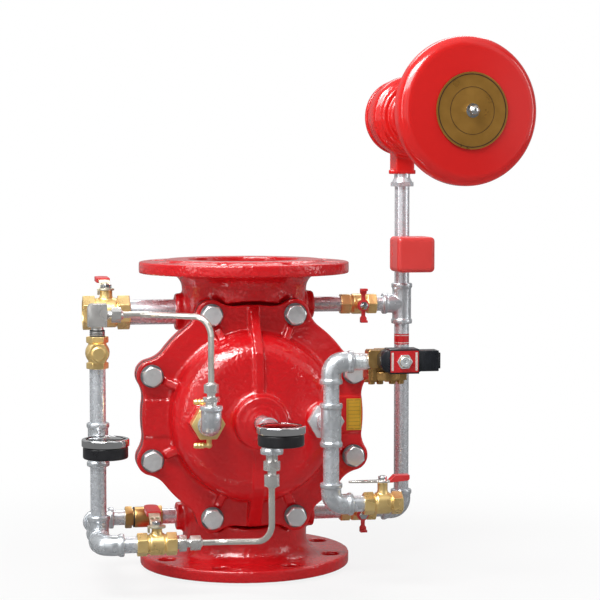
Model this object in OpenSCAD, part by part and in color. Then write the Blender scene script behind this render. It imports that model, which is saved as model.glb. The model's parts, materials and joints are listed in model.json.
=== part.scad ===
// Diaphragm deluge valve, DN150, with its trim and water motor gong.
// Origin: centre of the inlet flange's raised face. +Z is the flow, the cover faces -Y.

/* [Valve body] */
// Length between the two raised faces
face_to_face = 418; // [410:1:430]
// Outside diameter of both end flanges
flange_d = 285; // [280:1:290]
// Thickness of a flange rim
flange_t = 16; // [14:1:20]
// Height of the raised sealing face
raised_h = 3; // [2:0.5:3.5]
// Width of the step outside the raised sealing face
raised_step = 36.5; // [35:0.5:40]
// Waterway bore at both flanges
bore_d = 150; // [140:1:152]
// Wall of the round neck
neck_wall = 9.5; // [8:0.5:11]
// Distance from the rim to the centre of a flange hole
flange_edge = 22.5; // [21:0.5:24]
// Diameter of a hole in the inlet flange
inlet_hole_d = 23; // [22:0.1:24]
// Diameter of a hole in the outlet flange
outlet_hole_d = 22.4; // [22:0.1:24]
// Holes in each flange
flange_holes = 8; // [6:2:12]
// Fillet between neck and flange
neck_fillet = 20; // [10:1:24]
// Height of the cover's axis above the inlet face
cover_z = 214; // [212:1:217]
// Bore of the seat
seat_d = 100; // [90:1:104]
// Inside diameter of the outlet chamber behind the diaphragm
chamber_d = 210; // [200:1:212]
// Wall of the outlet chamber
chamber_wall = 13; // [10:0.5:14]

/* [Cover] */
// Distance from the valve axis to the body's joint face
joint_y = 66; // [62:1:68]
// Outside diameter of the cover flange
cover_d = 294; // [288:1:300]
// Thickness of the cover flange
cover_t = 17; // [14:1:19]
// Thickness of the body's own cover flange
body_flange_t = 20; // [16:1:24]
// Pitch circle of the cover bolts
cover_pcd = 290; // [286:1:294]
// Number of cover bolts
cover_bolt_n = 8; // [6:2:12]
// Radius of the ear round each cover bolt
ear_r = 20; // [18:0.5:22]
// Radius of the hollow between an ear and the rim
ear_blend = 34; // [24:1:40]
// Diameter of the dome where it leaves the flange
dome_d = 224; // [218:1:228]
// Height of the dome above the cover flange
dome_h = 49; // [46:1:54]
// Radius of the dome's shoulder
dome_edge_r = 36; // [24:1:40]
// Draft of the dome's wall, in degrees
dome_draft = 8; // [4:1:12]
// Crown of the dome's front, in degrees
dome_crown = 4; // [2:0.5:6]
// Wall of the dome
dome_wall = 9; // [7:0.5:10]
// Diameter of the centre hub
hub_d = 69; // [64:1:74]
// Height of the hub above the dome
hub_h = 20; // [16:1:24]
// Width of the long upright rib
rib_w = 12; // [9:1:15]
// Extra half width of the lower rib at the rim
rib_flare = 3; // [0:0.5:4]
// Distance of the left boss from the centre
left_boss_x = 69; // [66:1:72]
// Distance of the right boss from the centre
right_boss_x = 84; // [80:1:86]
// Height of the right boss above the dome's shoulder
boss_h = 10; // [8:1:12]
// Height of the left boss above the dome's shoulder
left_boss_h = 3; // [2:0.5:4]
// Distance across the flats of the left boss
left_boss_af = 42; // [40:1:44]
// Diameter of the right boss
right_boss_d = 46; // [44:1:50]

/* [Main disc] */
// Thickness of the rubber diaphragm
diaphragm_t = 5; // [4:0.5:6]
// Travel of the disc from the seat
disc_lift = 25; // [18:1:27]
// Diameter of the disc
disc_d = 114; // [110:1:118]
// Thickness of the disc behind the diaphragm
disc_plate_t = 14; // [11:1:15]
// Thickness of the disc's seal ring
disc_seal_t = 6; // [4:0.5:7]
// Width of the seat ring's landing
seat_land = 12; // [8:1:13]
// Height of the seat ring
seat_ring_h = 8; // [6:0.5:9]
// Diameter of the clamp plate in front of the diaphragm
clamp_d = 92; // [84:1:96]
// Thickness of the clamp plate
clamp_t = 8; // [6:0.5:10]
// Distance across the flats of the clamp nut
clamp_nut_af = 30; // [27:1:32]
// Diameter of the guide rod
guide_d = 12; // [10:0.5:13]
// Wire of the closing spring
spring_wire = 4; // [3:0.5:4.5]
// Mean diameter of the closing spring
spring_d = 56; // [50:1:60]
// Turns of the closing spring
spring_turns = 4; // [3:0.5:4.5]

/* [Cover bolts] */
// Diameter of a cover bolt
bolt_d = 16; // [14:1:16]
// Distance across the flats of a bolt head
bolt_af = 24; // [22:0.5:25]
// Height of a bolt head
bolt_head_h = 10; // [8:0.5:12]
// Outside diameter of a washer
washer_d = 30; // [28:0.5:32]
// Thickness of a washer
washer_t = 3; // [2:0.5:3]

/* [Pipe fittings] */
// Outside diameter of the trim pipe
pipe_d = 20.4; // [19:0.1:21.3]
// Wall of the trim pipe
pipe_wall = 2.7; // [2:0.1:3]
// Distance from a fitting's centre to its face
fit_reach = 28; // [27:0.5:29]
// Outside diameter of a fitting's barrel
fit_d = 26; // [25:0.25:27]
// Outside diameter of a fitting's band
band_d = 29; // [28:0.25:31]
// Width of a fitting's band
band_w = 6.5; // [5:0.5:8]
// Depth that a pipe screws into a fitting
thread_l = 12; // [10:0.5:13]
// Outside diameter of the drain pipe
drain_pipe_d = 33.5; // [32:0.1:33.7]
// Outside diameter of the bent steel tubes
tube_d = 8; // [6:0.5:9]
// Radius of the steel tubes' bends
tube_bend = 24; // [20:1:30]

/* [Body ports] */
// Distance from the valve axis to the faces of the side ports
port_x = 95; // [93:0.5:97]
// Height of both lower ports
low_port_z = 68.5; // [66:0.5:70]
// Height of the drain port
drain_port_z = 347; // [344:0.5:349]
// Height of the upper right port
top_port_z = 355; // [353:0.5:358]
// Outside diameter of the drain port
drain_port_d = 50; // [46:1:54]
// Outside diameter of the small ports
port_d = 38; // [34:1:41]

/* [Brass valves] */
// Length of the drain valve
drain_len = 63; // [60:1:66]
// Distance across the flats of the drain valve
drain_af = 40; // [38:0.5:42]
// Ball of the drain valve
drain_ball_d = 30; // [28:0.5:31]
// Distance from the valve axis to the drain valve's centre
drain_x = 187; // [184:1:190]
// Length of a small ball valve
small_len = 50; // [47:0.5:51]
// Distance across the flats of a small ball valve
small_af = 26; // [25:0.25:27]
// Ball of a small ball valve
small_ball_d = 18; // [16:0.5:19]
// Distance from the valve axis to the test valves' centres
test_x = 158; // [156:0.5:160]
// Distance from the valve axis to the supply valve's centre
supply_x = 138; // [136:0.5:140]
// Distance from the valve axis to the release valve's centre
release_x = 151; // [149:0.5:153]
// Length of the in-line check valve
check_len = 50; // [48:0.5:52]
// Distance from the valve axis to the in-line check valve's centre
check_x = 138.5; // [137:0.5:140]
// Height of the swing check valve
swing_len = 41; // [38:0.5:42]
// Length of the drain lever
drain_lever_l = 112; // [95:1:120]
// Length of the supply valve's lever
supply_lever_l = 88; // [80:1:100]
// Thickness of a lever
lever_t = 2.5; // [2:0.25:3]
// Width of a lever's arm
lever_w = 14; // [12:0.5:16]
// Length of a lever's grip sleeve
grip_l = 58; // [45:1:62]
// Length of the supply lever's grip
supply_grip_l = 50; // [40:1:52]
// Span of a butterfly handle
wing_span = 46; // [42:1:52]

/* [Left line] */
// Distance from the valve axis to the left line
left_x = 207; // [205:0.5:209]
// Distance of the left line in front of the valve axis
left_y = 130; // [128:0.5:134]
// Distance of the front elbow in front of the supply tee
front_gap = 58; // [57:0.5:62]
// Height of the left gauge's tee
gauge_tee_z = 188; // [184:1:192]
// Height of the swing check valve's centre
swing_z = 305.5; // [303:0.5:308]
// Height of the control tube
control_z = 353; // [351:0.5:355]
// Distance of the gauge behind its tee's face
gauge_stem_l = 14; // [12:0.5:18]
// Angle by which the left gauge is turned towards the valve
left_gauge_turn = 4; // [0:1:8]
// Diameter of a gauge
gauge_d = 59; // [56:0.5:61]
// Height of a gauge's case
gauge_case_h = 15; // [13:0.5:17]
// Height of a gauge's bezel
gauge_bezel_h = 9.5; // [8:0.5:11]

/* [Cover lines] */
// Distance of the hub tee in front of the valve axis
hub_tee_y = 238; // [235:0.5:241]
// Distance of the control elbow in front of the valve axis
control_y = 190; // [187:0.5:193]
// Distance of the right line from the valve axis plane
right_y = 190; // [188:0.5:194]
// Height of the solenoid line
solenoid_z = 294; // [290:0.5:298]
// Height of the release line
release_z = 112; // [108:0.5:116]
// Distance from the valve axis to the coil's axis
coil_x = 170; // [168:0.5:172]

/* [Riser] */
// Distance from the valve axis to the riser
riser_x = 220; // [218:0.5:222]
// Height of the pressure switch's underside
switch_z = 400; // [396:1:404]
// Width of the pressure switch
switch_w = 52; // [48:1:54]
// Depth of the pressure switch
switch_depth = 50; // [46:1:52]
// Height of the pressure switch
switch_h = 48; // [44:1:52]

/* [Gong] */
// Height of the gong's axis
gong_z = 611; // [606:1:616]
// Angle by which the gong is turned to the right
gong_turn = 8; // [0:0.5:14]
// Distance of the gong's axis to the right of the riser
gong_shift = 5; // [0:0.5:8]
// Distance of the gong's front from the riser
gong_reach = 225; // [215:1:230]
// Outside diameter of the gong
gong_d = 189; // [180:1:196]
// Depth of the gong
gong_depth = 23; // [20:1:26]
// Thickness of the gong
gong_t = 3.5; // [3:0.25:4]
// Diameter of the gold plate
plate_d = 97; // [90:1:104]
// Diameter of the motor housing
drum_d = 110; // [104:1:114]
// Depth of the motor housing
drum_depth = 66; // [60:1:70]
// Diameter of the shaft's sleeve
sleeve_d = 30; // [28:0.5:34]

/* [Hidden] */
$fn = 48;
eps = 0.5;
fit = 0.05; // radial clearance of a running or seated fit

neck_d = bore_d + 2 * neck_wall;
rim_top = raised_h + flange_t;
pipe_bore = pipe_d - 2 * pipe_wall;
socket_d = pipe_d + 2 * fit;
seat_in = fit_reach - thread_l; // from a fitting's centre to the end of the pipe in it
bend_r = seat_in - 1;
cover_back_y = joint_y + diaphragm_t;
cover_face_y = cover_back_y + cover_t;
dome_y = cover_face_y + dome_h;
hub_y = dome_y + crown_rise() + hub_h;
seat_tube_d = seat_d + 2 * seat_land + 8;
seat_face_y = joint_y - disc_plate_t - disc_seal_t;
front_y = left_y + front_gap;
spring_seat_y = dome_y - 2.5;
seat_tube_y = seat_face_y - 2;
riser_tee_z = top_port_z;
drain_nip_in = 18;
square_w = 24;
square_h = 29;

module along_x() rotate([0, 90, 0]) children();
module towards_viewer() rotate([90, 0, 0]) children();
module to_back() rotate([-90, 0, 0]) children();
module at_cover(y) translate([0, -y, cover_z]) children();
module both_ends(l) for (s = [0, 1]) mirror([s, 0, 0]) translate([l / 2, 0, 0]) children();

function hex_r(af) = af / 2 / cos(30);
module hex_rod(af, h) cylinder(r = hex_r(af), h = h, $fn = 6);
module pipe(d, bore, h) difference() {
    cylinder(d = d, h = h);
    translate([0, 0, -eps]) cylinder(d = bore, h = h + 2 * eps);
}

// Profile of a round bar with rounded edges, from the axis outwards
module bar_profile(r, h, e) {
    square([r - e, h]);
    translate([0, e]) square([r, h - 2 * e]);
    for (y = [e, h - e]) translate([r - e, y]) circle(e, $fn = 20);
}
module soft_rod(d, h, e) rotate_extrude() bar_profile(d / 2, h, e);

// Valve body

module flange_solid() {
    cylinder(d = flange_d - 2 * raised_step, h = raised_h + eps);
    translate([0, 0, raised_h]) soft_rod(flange_d, flange_t, 1.5);
    rotate_extrude() difference() {
        translate([0, rim_top - eps]) square([neck_d / 2 + neck_fillet, neck_fillet + eps]);
        translate([neck_d / 2 + neck_fillet, rim_top + neck_fillet]) circle(neck_fillet);
    }
}
module at_outlet() translate([0, 0, face_to_face]) mirror([0, 0, 1]) children();
module flange_bolt_holes(d) for (i = [0:flange_holes - 1])
    rotate([0, 0, (i + 0.5) * 360 / flange_holes]) translate([flange_d / 2 - flange_edge, 0, -eps])
        cylinder(d = d, h = rim_top + 2 * eps);

module bolt_places() for (i = [0:cover_bolt_n - 1])
    rotate((i + 0.5) * 360 / cover_bolt_n) translate([cover_pcd / 2, 0]) children();
// Each ear runs into the rim through a hollow fillet on either side
module ear_fillets() {
    far = cover_d / 2 + ear_blend;
    near = ear_r + ear_blend;
    reach = cover_pcd / 2;
    turn = acos((far * far + reach * reach - near * near) / (2 * far * reach));
    spot = [far * cos(turn), far * sin(turn)];
    for (m = [0, 1]) mirror([0, m]) difference() {
        polygon([[reach - ear_r, 0], [reach, 0], spot, spot * (cover_d / 2 - ear_r) / far]);
        translate(spot) circle(ear_blend);
    }
}
module cover_outline() {
    circle(d = cover_d);
    bolt_places() circle(ear_r);
    for (i = [0:cover_bolt_n - 1]) rotate((i + 0.5) * 360 / cover_bolt_n) ear_fillets();
}

// The chamber swells out behind the cover flange and rounds off towards the back
module chamber_solid() {
    back_r = chamber_d / 2 + chamber_wall;
    edge = back_r / 2;
    at_cover(joint_y) to_back() {
        linear_extrude(body_flange_t) cover_outline();
        rotate_extrude() {
            square([back_r, joint_y]);
            translate([0, joint_y - eps]) square([back_r - edge, edge + eps]);
            intersection() {
                translate([back_r - edge, joint_y - eps]) square([edge, edge + eps]);
                translate([back_r - edge, joint_y]) circle(edge);
            }
        }
    }
}
module port_solid(side, z, d, reach) translate([0, 0, z]) rotate([0, side * 90, 0])
    soft_rod(d, reach, 2);
module port_hole(side, z, d, depth, inner) translate([0, 0, z]) rotate([0, side * 90, 0]) {
    translate([0, 0, port_x - depth]) cylinder(d = d + 2 * fit, h = depth + eps);
    cylinder(d = inner, h = port_x);
}

// Keeps the waterway behind the ends of the cover bolts
module behind_joint() translate([-bore_d, body_flange_t + 4 - joint_y, -eps])
    cube([2 * bore_d, 2 * bore_d, 2 * face_to_face]);

// The inlet turns forwards through the seat; the outlet chamber rings the seat and turns up
module inlet_way() {
    low_top = cover_z - chamber_d / 2 - 8;
    pocket_top = cover_z + seat_d / 2 + 4;
    translate([0, 0, -eps]) cylinder(d = bore_d, h = cover_z - cover_d / 2 - ear_r + eps);
    intersection() {
        translate([0, 0, -eps]) cylinder(d = bore_d, h = low_top + eps);
        behind_joint();
    }
    intersection() {
        translate([0, 0, low_top - eps]) cylinder(d = bore_d, h = pocket_top - low_top + eps);
        translate([-bore_d, -joint_y + 48, 0]) cube([2 * bore_d, bore_d, face_to_face]);
    }
    at_cover(joint_y + eps) to_back() cylinder(d = seat_d, h = joint_y);
}
module outlet_way() {
    pocket_top = cover_z + seat_d / 2 + 4;
    translate([0, 0, cover_z + cover_d / 2 + ear_r]) cylinder(d = bore_d, h = face_to_face);
    intersection() {
        translate([0, 0, pocket_top + 10]) cylinder(d = bore_d, h = face_to_face - pocket_top);
        behind_joint();
    }
    difference() {
        at_cover(joint_y + eps) to_back() cylinder(d = chamber_d, h = 36 + eps);
        at_cover(seat_tube_y) to_back() cylinder(d = seat_tube_d, h = joint_y);
    }
}
module seat_pocket() at_cover(seat_face_y) to_back()
    cylinder(d = seat_d + 2 * seat_land + 2 * fit, h = seat_ring_h);

module valve_body() color("firebrick") difference() {
    union() {
        cylinder(d = neck_d, h = face_to_face);
        flange_solid();
        at_outlet() flange_solid();
        chamber_solid();
        port_solid(-1, drain_port_z, drain_port_d, port_x);
        port_solid(1, top_port_z, port_d, port_x);
        for (s = [-1, 1]) port_solid(s, low_port_z, port_d, port_x);
    }
    // clears the cover where the round neck would stand in front of the joint face
    at_cover(joint_y) towards_viewer() linear_extrude(neck_d) {
        circle(d = cover_d + 8);
        bolt_places() circle(ear_r + 4);
    }
    flange_bolt_holes(inlet_hole_d);
    at_outlet() flange_bolt_holes(outlet_hole_d);
    inlet_way();
    outlet_way();
    seat_pocket();
    port_hole(-1, drain_port_z, drain_pipe_d, drain_nip_in, 26);
    port_hole(1, top_port_z, pipe_d, thread_l, pipe_bore);
    for (s = [-1, 1]) port_hole(s, low_port_z, pipe_d, thread_l, pipe_bore);
    at_cover(joint_y) to_back() translate([0, 0, -eps]) linear_extrude(body_flange_t + 2 * eps)
        bolt_places() circle(d = bolt_d + 2 * fit);
}

// Cover

function crown_rise() = (dome_shoulder_r() - hub_d / 2) * tan(dome_crown);
function dome_wall_l() = (dome_h - dome_edge_r * (1 - sin(dome_draft))) / cos(dome_draft);
function dome_shoulder_r() = dome_d / 2 - dome_wall_l() * sin(dome_draft)
    - dome_edge_r * cos(dome_draft);

// Half section of the dome, from the axis outwards, with h measured from the flange face
module dome_profile(grow) {
    sr = dome_shoulder_r();
    er = dome_edge_r + grow;
    inner = er - eps / 10;
    h0 = dome_h - dome_edge_r;
    wall_r = sr + inner * cos(dome_draft);
    wall_h = h0 + inner * sin(dome_draft);
    polygon([
        [0, -cover_t], [wall_r + (wall_h + cover_t) * sin(dome_draft), -cover_t], [wall_r, wall_h],
        [sr, h0], [sr + inner * sin(dome_crown), h0 + inner * cos(dome_crown)],
        [0, h0 + inner * cos(dome_crown) + sr * tan(dome_crown)]
    ]);
    translate([sr, h0]) intersection() {
        circle(er);
        square(er + 1);
    }
}
// The long rib; its lower half widens towards the rim
module upright_rib(side) {
    sr = dome_shoulder_r();
    end_w = rib_w / 2 + (side < 0 ? rib_flare : 0);
    intersection() {
        translate([-rib_w, 0, 0]) rotate([90, 0, 90]) linear_extrude(2 * rib_w) polygon([
            [0, 0], [side * (cover_d / 2 - 3), 0], [side * (cover_d / 2 - 3), 4],
            [side * (sr + dome_edge_r / 2 - 4), dome_h + 3], [0, dome_h + crown_rise() + 5]
        ]);
        linear_extrude(2 * dome_h) polygon([
            [-rib_w / 2, 0], [rib_w / 2, 0], [end_w, side * cover_d / 2], [-end_w, side * cover_d / 2]
        ]);
    }
}
module bolt_rib() translate([0, rib_w / 2 - 1, 0]) rotate([90, 0, 0]) linear_extrude(rib_w - 2) polygon([
    [dome_d / 2 - 20, 0], [cover_pcd / 2 - washer_d / 2 - 1, 0],
    [cover_pcd / 2 - washer_d / 2 - 4, 5], [dome_d / 2 - 20, 18]
]);
module hub_solid() {
    base = dome_h + crown_rise();
    translate([0, 0, base - 8]) rotate_extrude() {
        bar_profile(hub_d / 2, hub_h + 8, 4);
        difference() {
            square([hub_d / 2 + 6, 14]);
            translate([hub_d / 2 + 6, 14]) circle(6, $fn = 20);
        }
    }
    translate([0, 0, base + hub_h - 2]) soft_rod(hub_d * 0.64, 3.5, 1.2);
    translate([0, 0, base + hub_h - 2]) soft_rod(hub_d * 0.45, 5, 1.2);
}
module cover() color("firebrick") at_cover(cover_face_y) towards_viewer() difference() {
    union() {
        translate([0, 0, -cover_t]) linear_extrude(cover_t) cover_outline();
        rotate_extrude() intersection() {
            dome_profile(0);
            translate([0, -cover_t]) square([dome_d, cover_t + 2 * dome_h]);
        }
        // low ring round the foot of the dome
        rotate_extrude() difference() {
            square([dome_d / 2 + 6, 6]);
            translate([dome_d / 2 + 6, 6]) circle(6, $fn = 20);
        }
        hub_solid();
        side_pad(1);
        side_pad(-1);
        upright_rib(1);
        upright_rib(-1);
        for (i = [0:cover_bolt_n - 1]) rotate([0, 0, (i + 0.5) * 360 / cover_bolt_n]) bolt_rib();
        translate([-left_boss_x, 0, 0]) hex_rod(left_boss_af, dome_h + left_boss_h);
        translate([right_boss_x, 0, 0]) soft_rod(right_boss_d, dome_h + boss_h, 2);
    }
    rotate_extrude() intersection() {
        dome_profile(-dome_wall);
        translate([0, -cover_t - eps]) square([chamber_d / 2, 3 * dome_h]);
    }
    translate([0, 0, -cover_t - eps]) linear_extrude(cover_t + 2 * eps) bolt_places()
        circle(d = bolt_d + 2);
    cylinder(d = guide_d + 2 * fit, h = 2 * dome_h + hub_h);
    translate([0, 0, hub_y - cover_face_y + 3 - thread_l]) cylinder(d = socket_d, h = thread_l + eps);
    for (b = [[-left_boss_x, left_boss_h], [right_boss_x, boss_h]]) translate([b[0], 0, 0]) {
        translate([0, 0, dome_h - dome_edge_r]) cylinder(d = 10, h = 2 * dome_h);
        translate([0, 0, dome_h + b[1] - thread_l]) cylinder(d = socket_d, h = thread_l + eps);
    }
    // flat seat for the closing spring
    cylinder(d = spring_d + 3 * spring_wire, h = spring_seat_y - cover_face_y);
}
plate_w = (cover_d - dome_d) / 2 - 15;
plate_h = 42;
pad_t = 2.5;
module side_pad(side) mirror([side < 0 ? 1 : 0, 0, 0]) {
    translate([dome_d / 2 - 6, -plate_h / 2 - 3, 0]) cube([cover_d / 2 - dome_d / 2 + 4, plate_h + 6, pad_t]);
}
module nameplate() color("khaki") at_cover(cover_face_y + pad_t) towards_viewer() {
    translate([cover_d / 2 - plate_w - 3, -plate_h / 2, 0]) cube([plate_w, plate_h, 1]);
    for (y = [-1, 1]) translate([cover_d / 2 - plate_w / 2 - 3, y * (plate_h / 2 - 3), 0])
        cylinder(d = 3, h = 1.8);
}
module cover_bolts() color("gainsboro") at_cover(cover_face_y) towards_viewer()
    for (i = [0:cover_bolt_n - 1]) rotate([0, 0, (i + 0.5) * 360 / cover_bolt_n])
        translate([cover_pcd / 2, 0, 0]) {
            difference() {
                cylinder(d = washer_d, h = washer_t);
                translate([0, 0, -eps]) cylinder(d = bolt_d + 2 * fit, h = washer_t + 2 * eps);
            }
            translate([0, 0, washer_t]) intersection() {
                hex_rod(bolt_af, bolt_head_h);
                rotate_extrude() polygon([
                    [0, 0], [hex_r(bolt_af) + 1, 0], [hex_r(bolt_af) + 1, bolt_head_h - 2.5],
                    [bolt_af / 2 - 0.5, bolt_head_h], [0, bolt_head_h]
                ]);
            }
            shank = cover_t + diaphragm_t + body_flange_t + washer_t;
            translate([0, 0, washer_t - shank]) cylinder(d = bolt_d, h = shank);
        }

// Main disc

module seat_ring() color("goldenrod") at_cover(seat_face_y) to_back() difference() {
    cylinder(d = seat_d + 2 * seat_land, h = seat_ring_h);
    translate([0, 0, -eps]) cylinder(d = seat_d, h = seat_ring_h + 2 * eps);
}
module disc_seal() color("dimgray") at_cover(seat_face_y) towards_viewer() difference() {
    cylinder(d = disc_d, h = disc_seal_t);
    translate([0, 0, -eps]) cylinder(d = seat_d - 12, h = disc_seal_t + 2 * eps);
}
module valve_disc() color("darkgoldenrod") at_cover(seat_face_y) towards_viewer() {
    guide_l = joint_y - seat_face_y;
    difference() {
        union() {
            translate([0, 0, disc_seal_t]) soft_rod(disc_d + 4, disc_plate_t, 3);
            cylinder(d = seat_d - 12.5, h = disc_seal_t + eps);
            for (a = [0:90:270]) rotate([0, 0, a]) translate([30, -3, -12]) cube([12, 6, 14]);
        }
        translate([0, 0, -guide_l]) cylinder(d = guide_d + 2 * fit, h = 3 * guide_l);
    }
}
module diaphragm() color("black") at_cover(joint_y) towards_viewer() linear_extrude(diaphragm_t)
    difference() {
        cover_outline();
        bolt_places() circle(d = bolt_d + 2);
        circle(d = guide_d + 2 * fit);
    }
module disc_clamp() color("silver") at_cover(cover_back_y) towards_viewer() {
    rod_top = hub_y - cover_back_y - hub_h - crown_rise() + 6;
    difference() {
        soft_rod(clamp_d, clamp_t, 2);
        translate([0, 0, -eps]) cylinder(d = guide_d + 2 * fit, h = clamp_t + 2 * eps);
    }
    // guide rod, with a head behind the disc
    translate([0, 0, seat_face_y - cover_back_y - 4]) {
        cylinder(d = guide_d, h = rod_top + cover_back_y - seat_face_y + 4);
        cylinder(d = guide_d * 1.9, h = 4);
    }
    translate([0, 0, clamp_t]) difference() {
        hex_rod(clamp_nut_af, 10);
        translate([0, 0, -eps]) cylinder(d = guide_d + 2 * fit, h = 10 + 2 * eps);
    }
}

// A round-wire coil swept along a helix, ground flat by its end turns
module coil(mean_d, wire, length, turns) {
    sides = 8;
    steps = ceil(turns * 16);
    rise = length - wire;
    function spot(i) = let (a = 360 * turns * i / steps)
        [mean_d / 2 * cos(a), mean_d / 2 * sin(a), wire / 2 + rise * i / steps];
    points = [for (i = [0:steps]) let (a = 360 * turns * i / steps) for (k = [0:sides - 1])
        let (b = 360 * k / sides)
        spot(i) + wire / 2 * [cos(b) * cos(a), cos(b) * sin(a), sin(b)]];
    faces = concat(
        [[for (k = [0:sides - 1]) k]],
        [[for (k = [sides - 1:-1:0]) steps * sides + k]],
        [for (i = [0:steps - 1]) for (k = [0:sides - 1]) let (n = (k + 1) % sides) each [
            [i * sides + k, (i + 1) * sides + k, (i + 1) * sides + n],
            [i * sides + k, (i + 1) * sides + n, i * sides + n]
        ]]
    );
    polyhedron(points, faces);
}
module closing_spring() color("silver") at_cover(cover_back_y + clamp_t) towards_viewer()
    coil(spring_d, spring_wire, spring_seat_y - cover_back_y - clamp_t, spring_turns);

// Malleable iron fittings: an elbow with legs along +X and +Z, a tee with its run along Z

module fit_end() translate([0, 0, fit_reach - band_w]) soft_rod(band_d, band_w, 1.4);
module fit_socket() {
    translate([0, 0, seat_in]) cylinder(d = socket_d, h = thread_l + eps);
}
module elbow_legs() {
    children();
    along_x() children();
}
module quarter_bend(d, r) translate([r, 0, r]) rotate([90, 0, 0]) rotate([0, 0, 180])
    rotate_extrude(angle = 90) translate([r, 0]) circle(d = d);
module elbow() difference() {
    union() {
        quarter_bend(fit_d, bend_r);
        elbow_legs() {
            translate([0, 0, bend_r]) cylinder(d = fit_d, h = fit_reach - bend_r - 1);
            fit_end();
        }
    }
    quarter_bend(pipe_bore, bend_r);
    elbow_legs() {
        translate([0, 0, bend_r]) cylinder(d = pipe_bore, h = fit_reach);
        fit_socket();
    }
}
module tee() difference() {
    union() {
        translate([0, 0, -fit_reach + 1]) cylinder(d = fit_d, h = 2 * fit_reach - 2);
        for (a = [0, 90, 180]) rotate([0, a, 0]) fit_end();
        along_x() cylinder(d = fit_d, h = fit_reach - 1);
    }
    translate([0, 0, -fit_reach]) cylinder(d = pipe_bore, h = 2 * fit_reach);
    along_x() cylinder(d = pipe_bore, h = fit_reach);
    for (a = [0, 90, 180]) rotate([0, a, 0]) fit_socket();
}
module elbows() color("lightgray") {
    translate([-left_x, 0, low_port_z]) rotate([90, 0, 0]) elbow();
    translate([-left_x, -front_y, low_port_z]) rotate([-90, 0, 0]) elbow();
    translate([-left_boss_x, -control_y, cover_z]) rotate([0, 0, 90]) elbow();
    translate([right_boss_x, -right_y, solenoid_z]) rotate([180, 0, 0]) elbow();
    translate([right_boss_x, -right_y, release_z]) elbow();
    translate([riser_x, 0, low_port_z]) rotate([0, 0, 180]) elbow();
}
module tees() color("lightgray") {
    translate([-left_x, -left_y, low_port_z]) rotate([0, -90, 90]) tee();
    translate([-left_x, -left_y, gauge_tee_z]) rotate([0, 0, -90 + left_gauge_turn]) tee();
    translate([0, -hub_tee_y, cover_z]) rotate([0, 90, 90]) tee();
    translate([right_boss_x, -right_y, cover_z]) rotate([0, 0, 90]) tee();
    translate([riser_x, 0, riser_tee_z]) rotate([0, 0, 180]) tee();
}

// Straight pipes, each given by its two ends
module pipe_x(x0, x1, y, z, d, bore) translate([x0, y, z]) along_x() pipe(d, bore, x1 - x0);
module pipe_y(x, y0, y1, z, d, bore) translate([x, y0, z]) to_back() pipe(d, bore, y1 - y0);
module pipe_z(x, y, z0, z1, d, bore) translate([x, y, z0]) pipe(d, bore, z1 - z0);

// Ends of the sockets in the body, the valves and the cover
port_in = port_x - thread_l;
small_in = small_len / 2 - thread_l + 2;
check_in = check_len / 2 - thread_l + 2;
drain_in = drain_len / 2 - drain_nip_in + 4;
boss_face_y = cover_face_y + dome_h + boss_h;
hub_face_y = hub_y + 3;
swing_in = swing_len / 2 - thread_l + 3;
bushing_t = 12;

module left_pipes() color("lightgray") {
    pipe_x(-drain_x + drain_in, -port_x + drain_nip_in, 0, drain_port_z, drain_pipe_d, 27);
    pipe_x(-check_x + check_in, -port_in, 0, low_port_z, pipe_d, pipe_bore);
    pipe_x(-left_x + seat_in, -check_x - check_in, 0, low_port_z, pipe_d, pipe_bore);
    pipe_y(-left_x, -left_y + seat_in, -seat_in, low_port_z, pipe_d, pipe_bore);
    pipe_y(-left_x, -front_y + seat_in, -left_y - seat_in, low_port_z, pipe_d, pipe_bore);
    pipe_x(-left_x + seat_in, -supply_x - small_in, -front_y, low_port_z, pipe_d, pipe_bore);
    pipe_z(-left_x, -left_y, low_port_z + seat_in, gauge_tee_z - seat_in, pipe_d, pipe_bore);
    pipe_z(-left_x, -left_y, gauge_tee_z + seat_in, swing_z - swing_in, pipe_d, pipe_bore);
}
module right_pipes() color("lightgray") {
    pipe_z(right_boss_x, -right_y, cover_z + seat_in, solenoid_z - seat_in, pipe_d, pipe_bore);
    pipe_z(right_boss_x, -right_y, release_z + seat_in, cover_z - seat_in, pipe_d, pipe_bore);
    pipe_x(right_boss_x + seat_in, release_x - small_in, -right_y, release_z, pipe_d, pipe_bore);
    pipe_x(right_boss_x + seat_in, block_x + thread_l, -right_y, solenoid_z, pipe_d, pipe_bore);
}
module riser_pipes() color("lightgray") {
    for (z = [low_port_z, riser_tee_z]) {
        pipe_x(port_in, test_x - small_in, 0, z, pipe_d, pipe_bore);
        pipe_x(test_x + small_in, riser_x - seat_in, 0, z, pipe_d, pipe_bore);
    }
    pipe_z(riser_x, 0, low_port_z + seat_in, riser_tee_z - seat_in, pipe_d, pipe_bore);
    pipe_z(riser_x, 0, riser_tee_z + seat_in, reducer_z + thread_l, pipe_d, pipe_bore);
    // reducer between the riser and the motor's inlet
    translate([riser_x, 0, reducer_z]) difference() {
        union() {
            hex_rod(28, 6);
            translate([0, 0, 6]) cylinder(d1 = 28, d2 = 22, h = 6);
            cylinder(d = 22, h = motor_inlet_z - reducer_z + thread_l);
        }
        translate([0, 0, -eps]) cylinder(d = socket_d, h = thread_l + eps);
        cylinder(d = 12, h = motor_inlet_z);
    }
}
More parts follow.
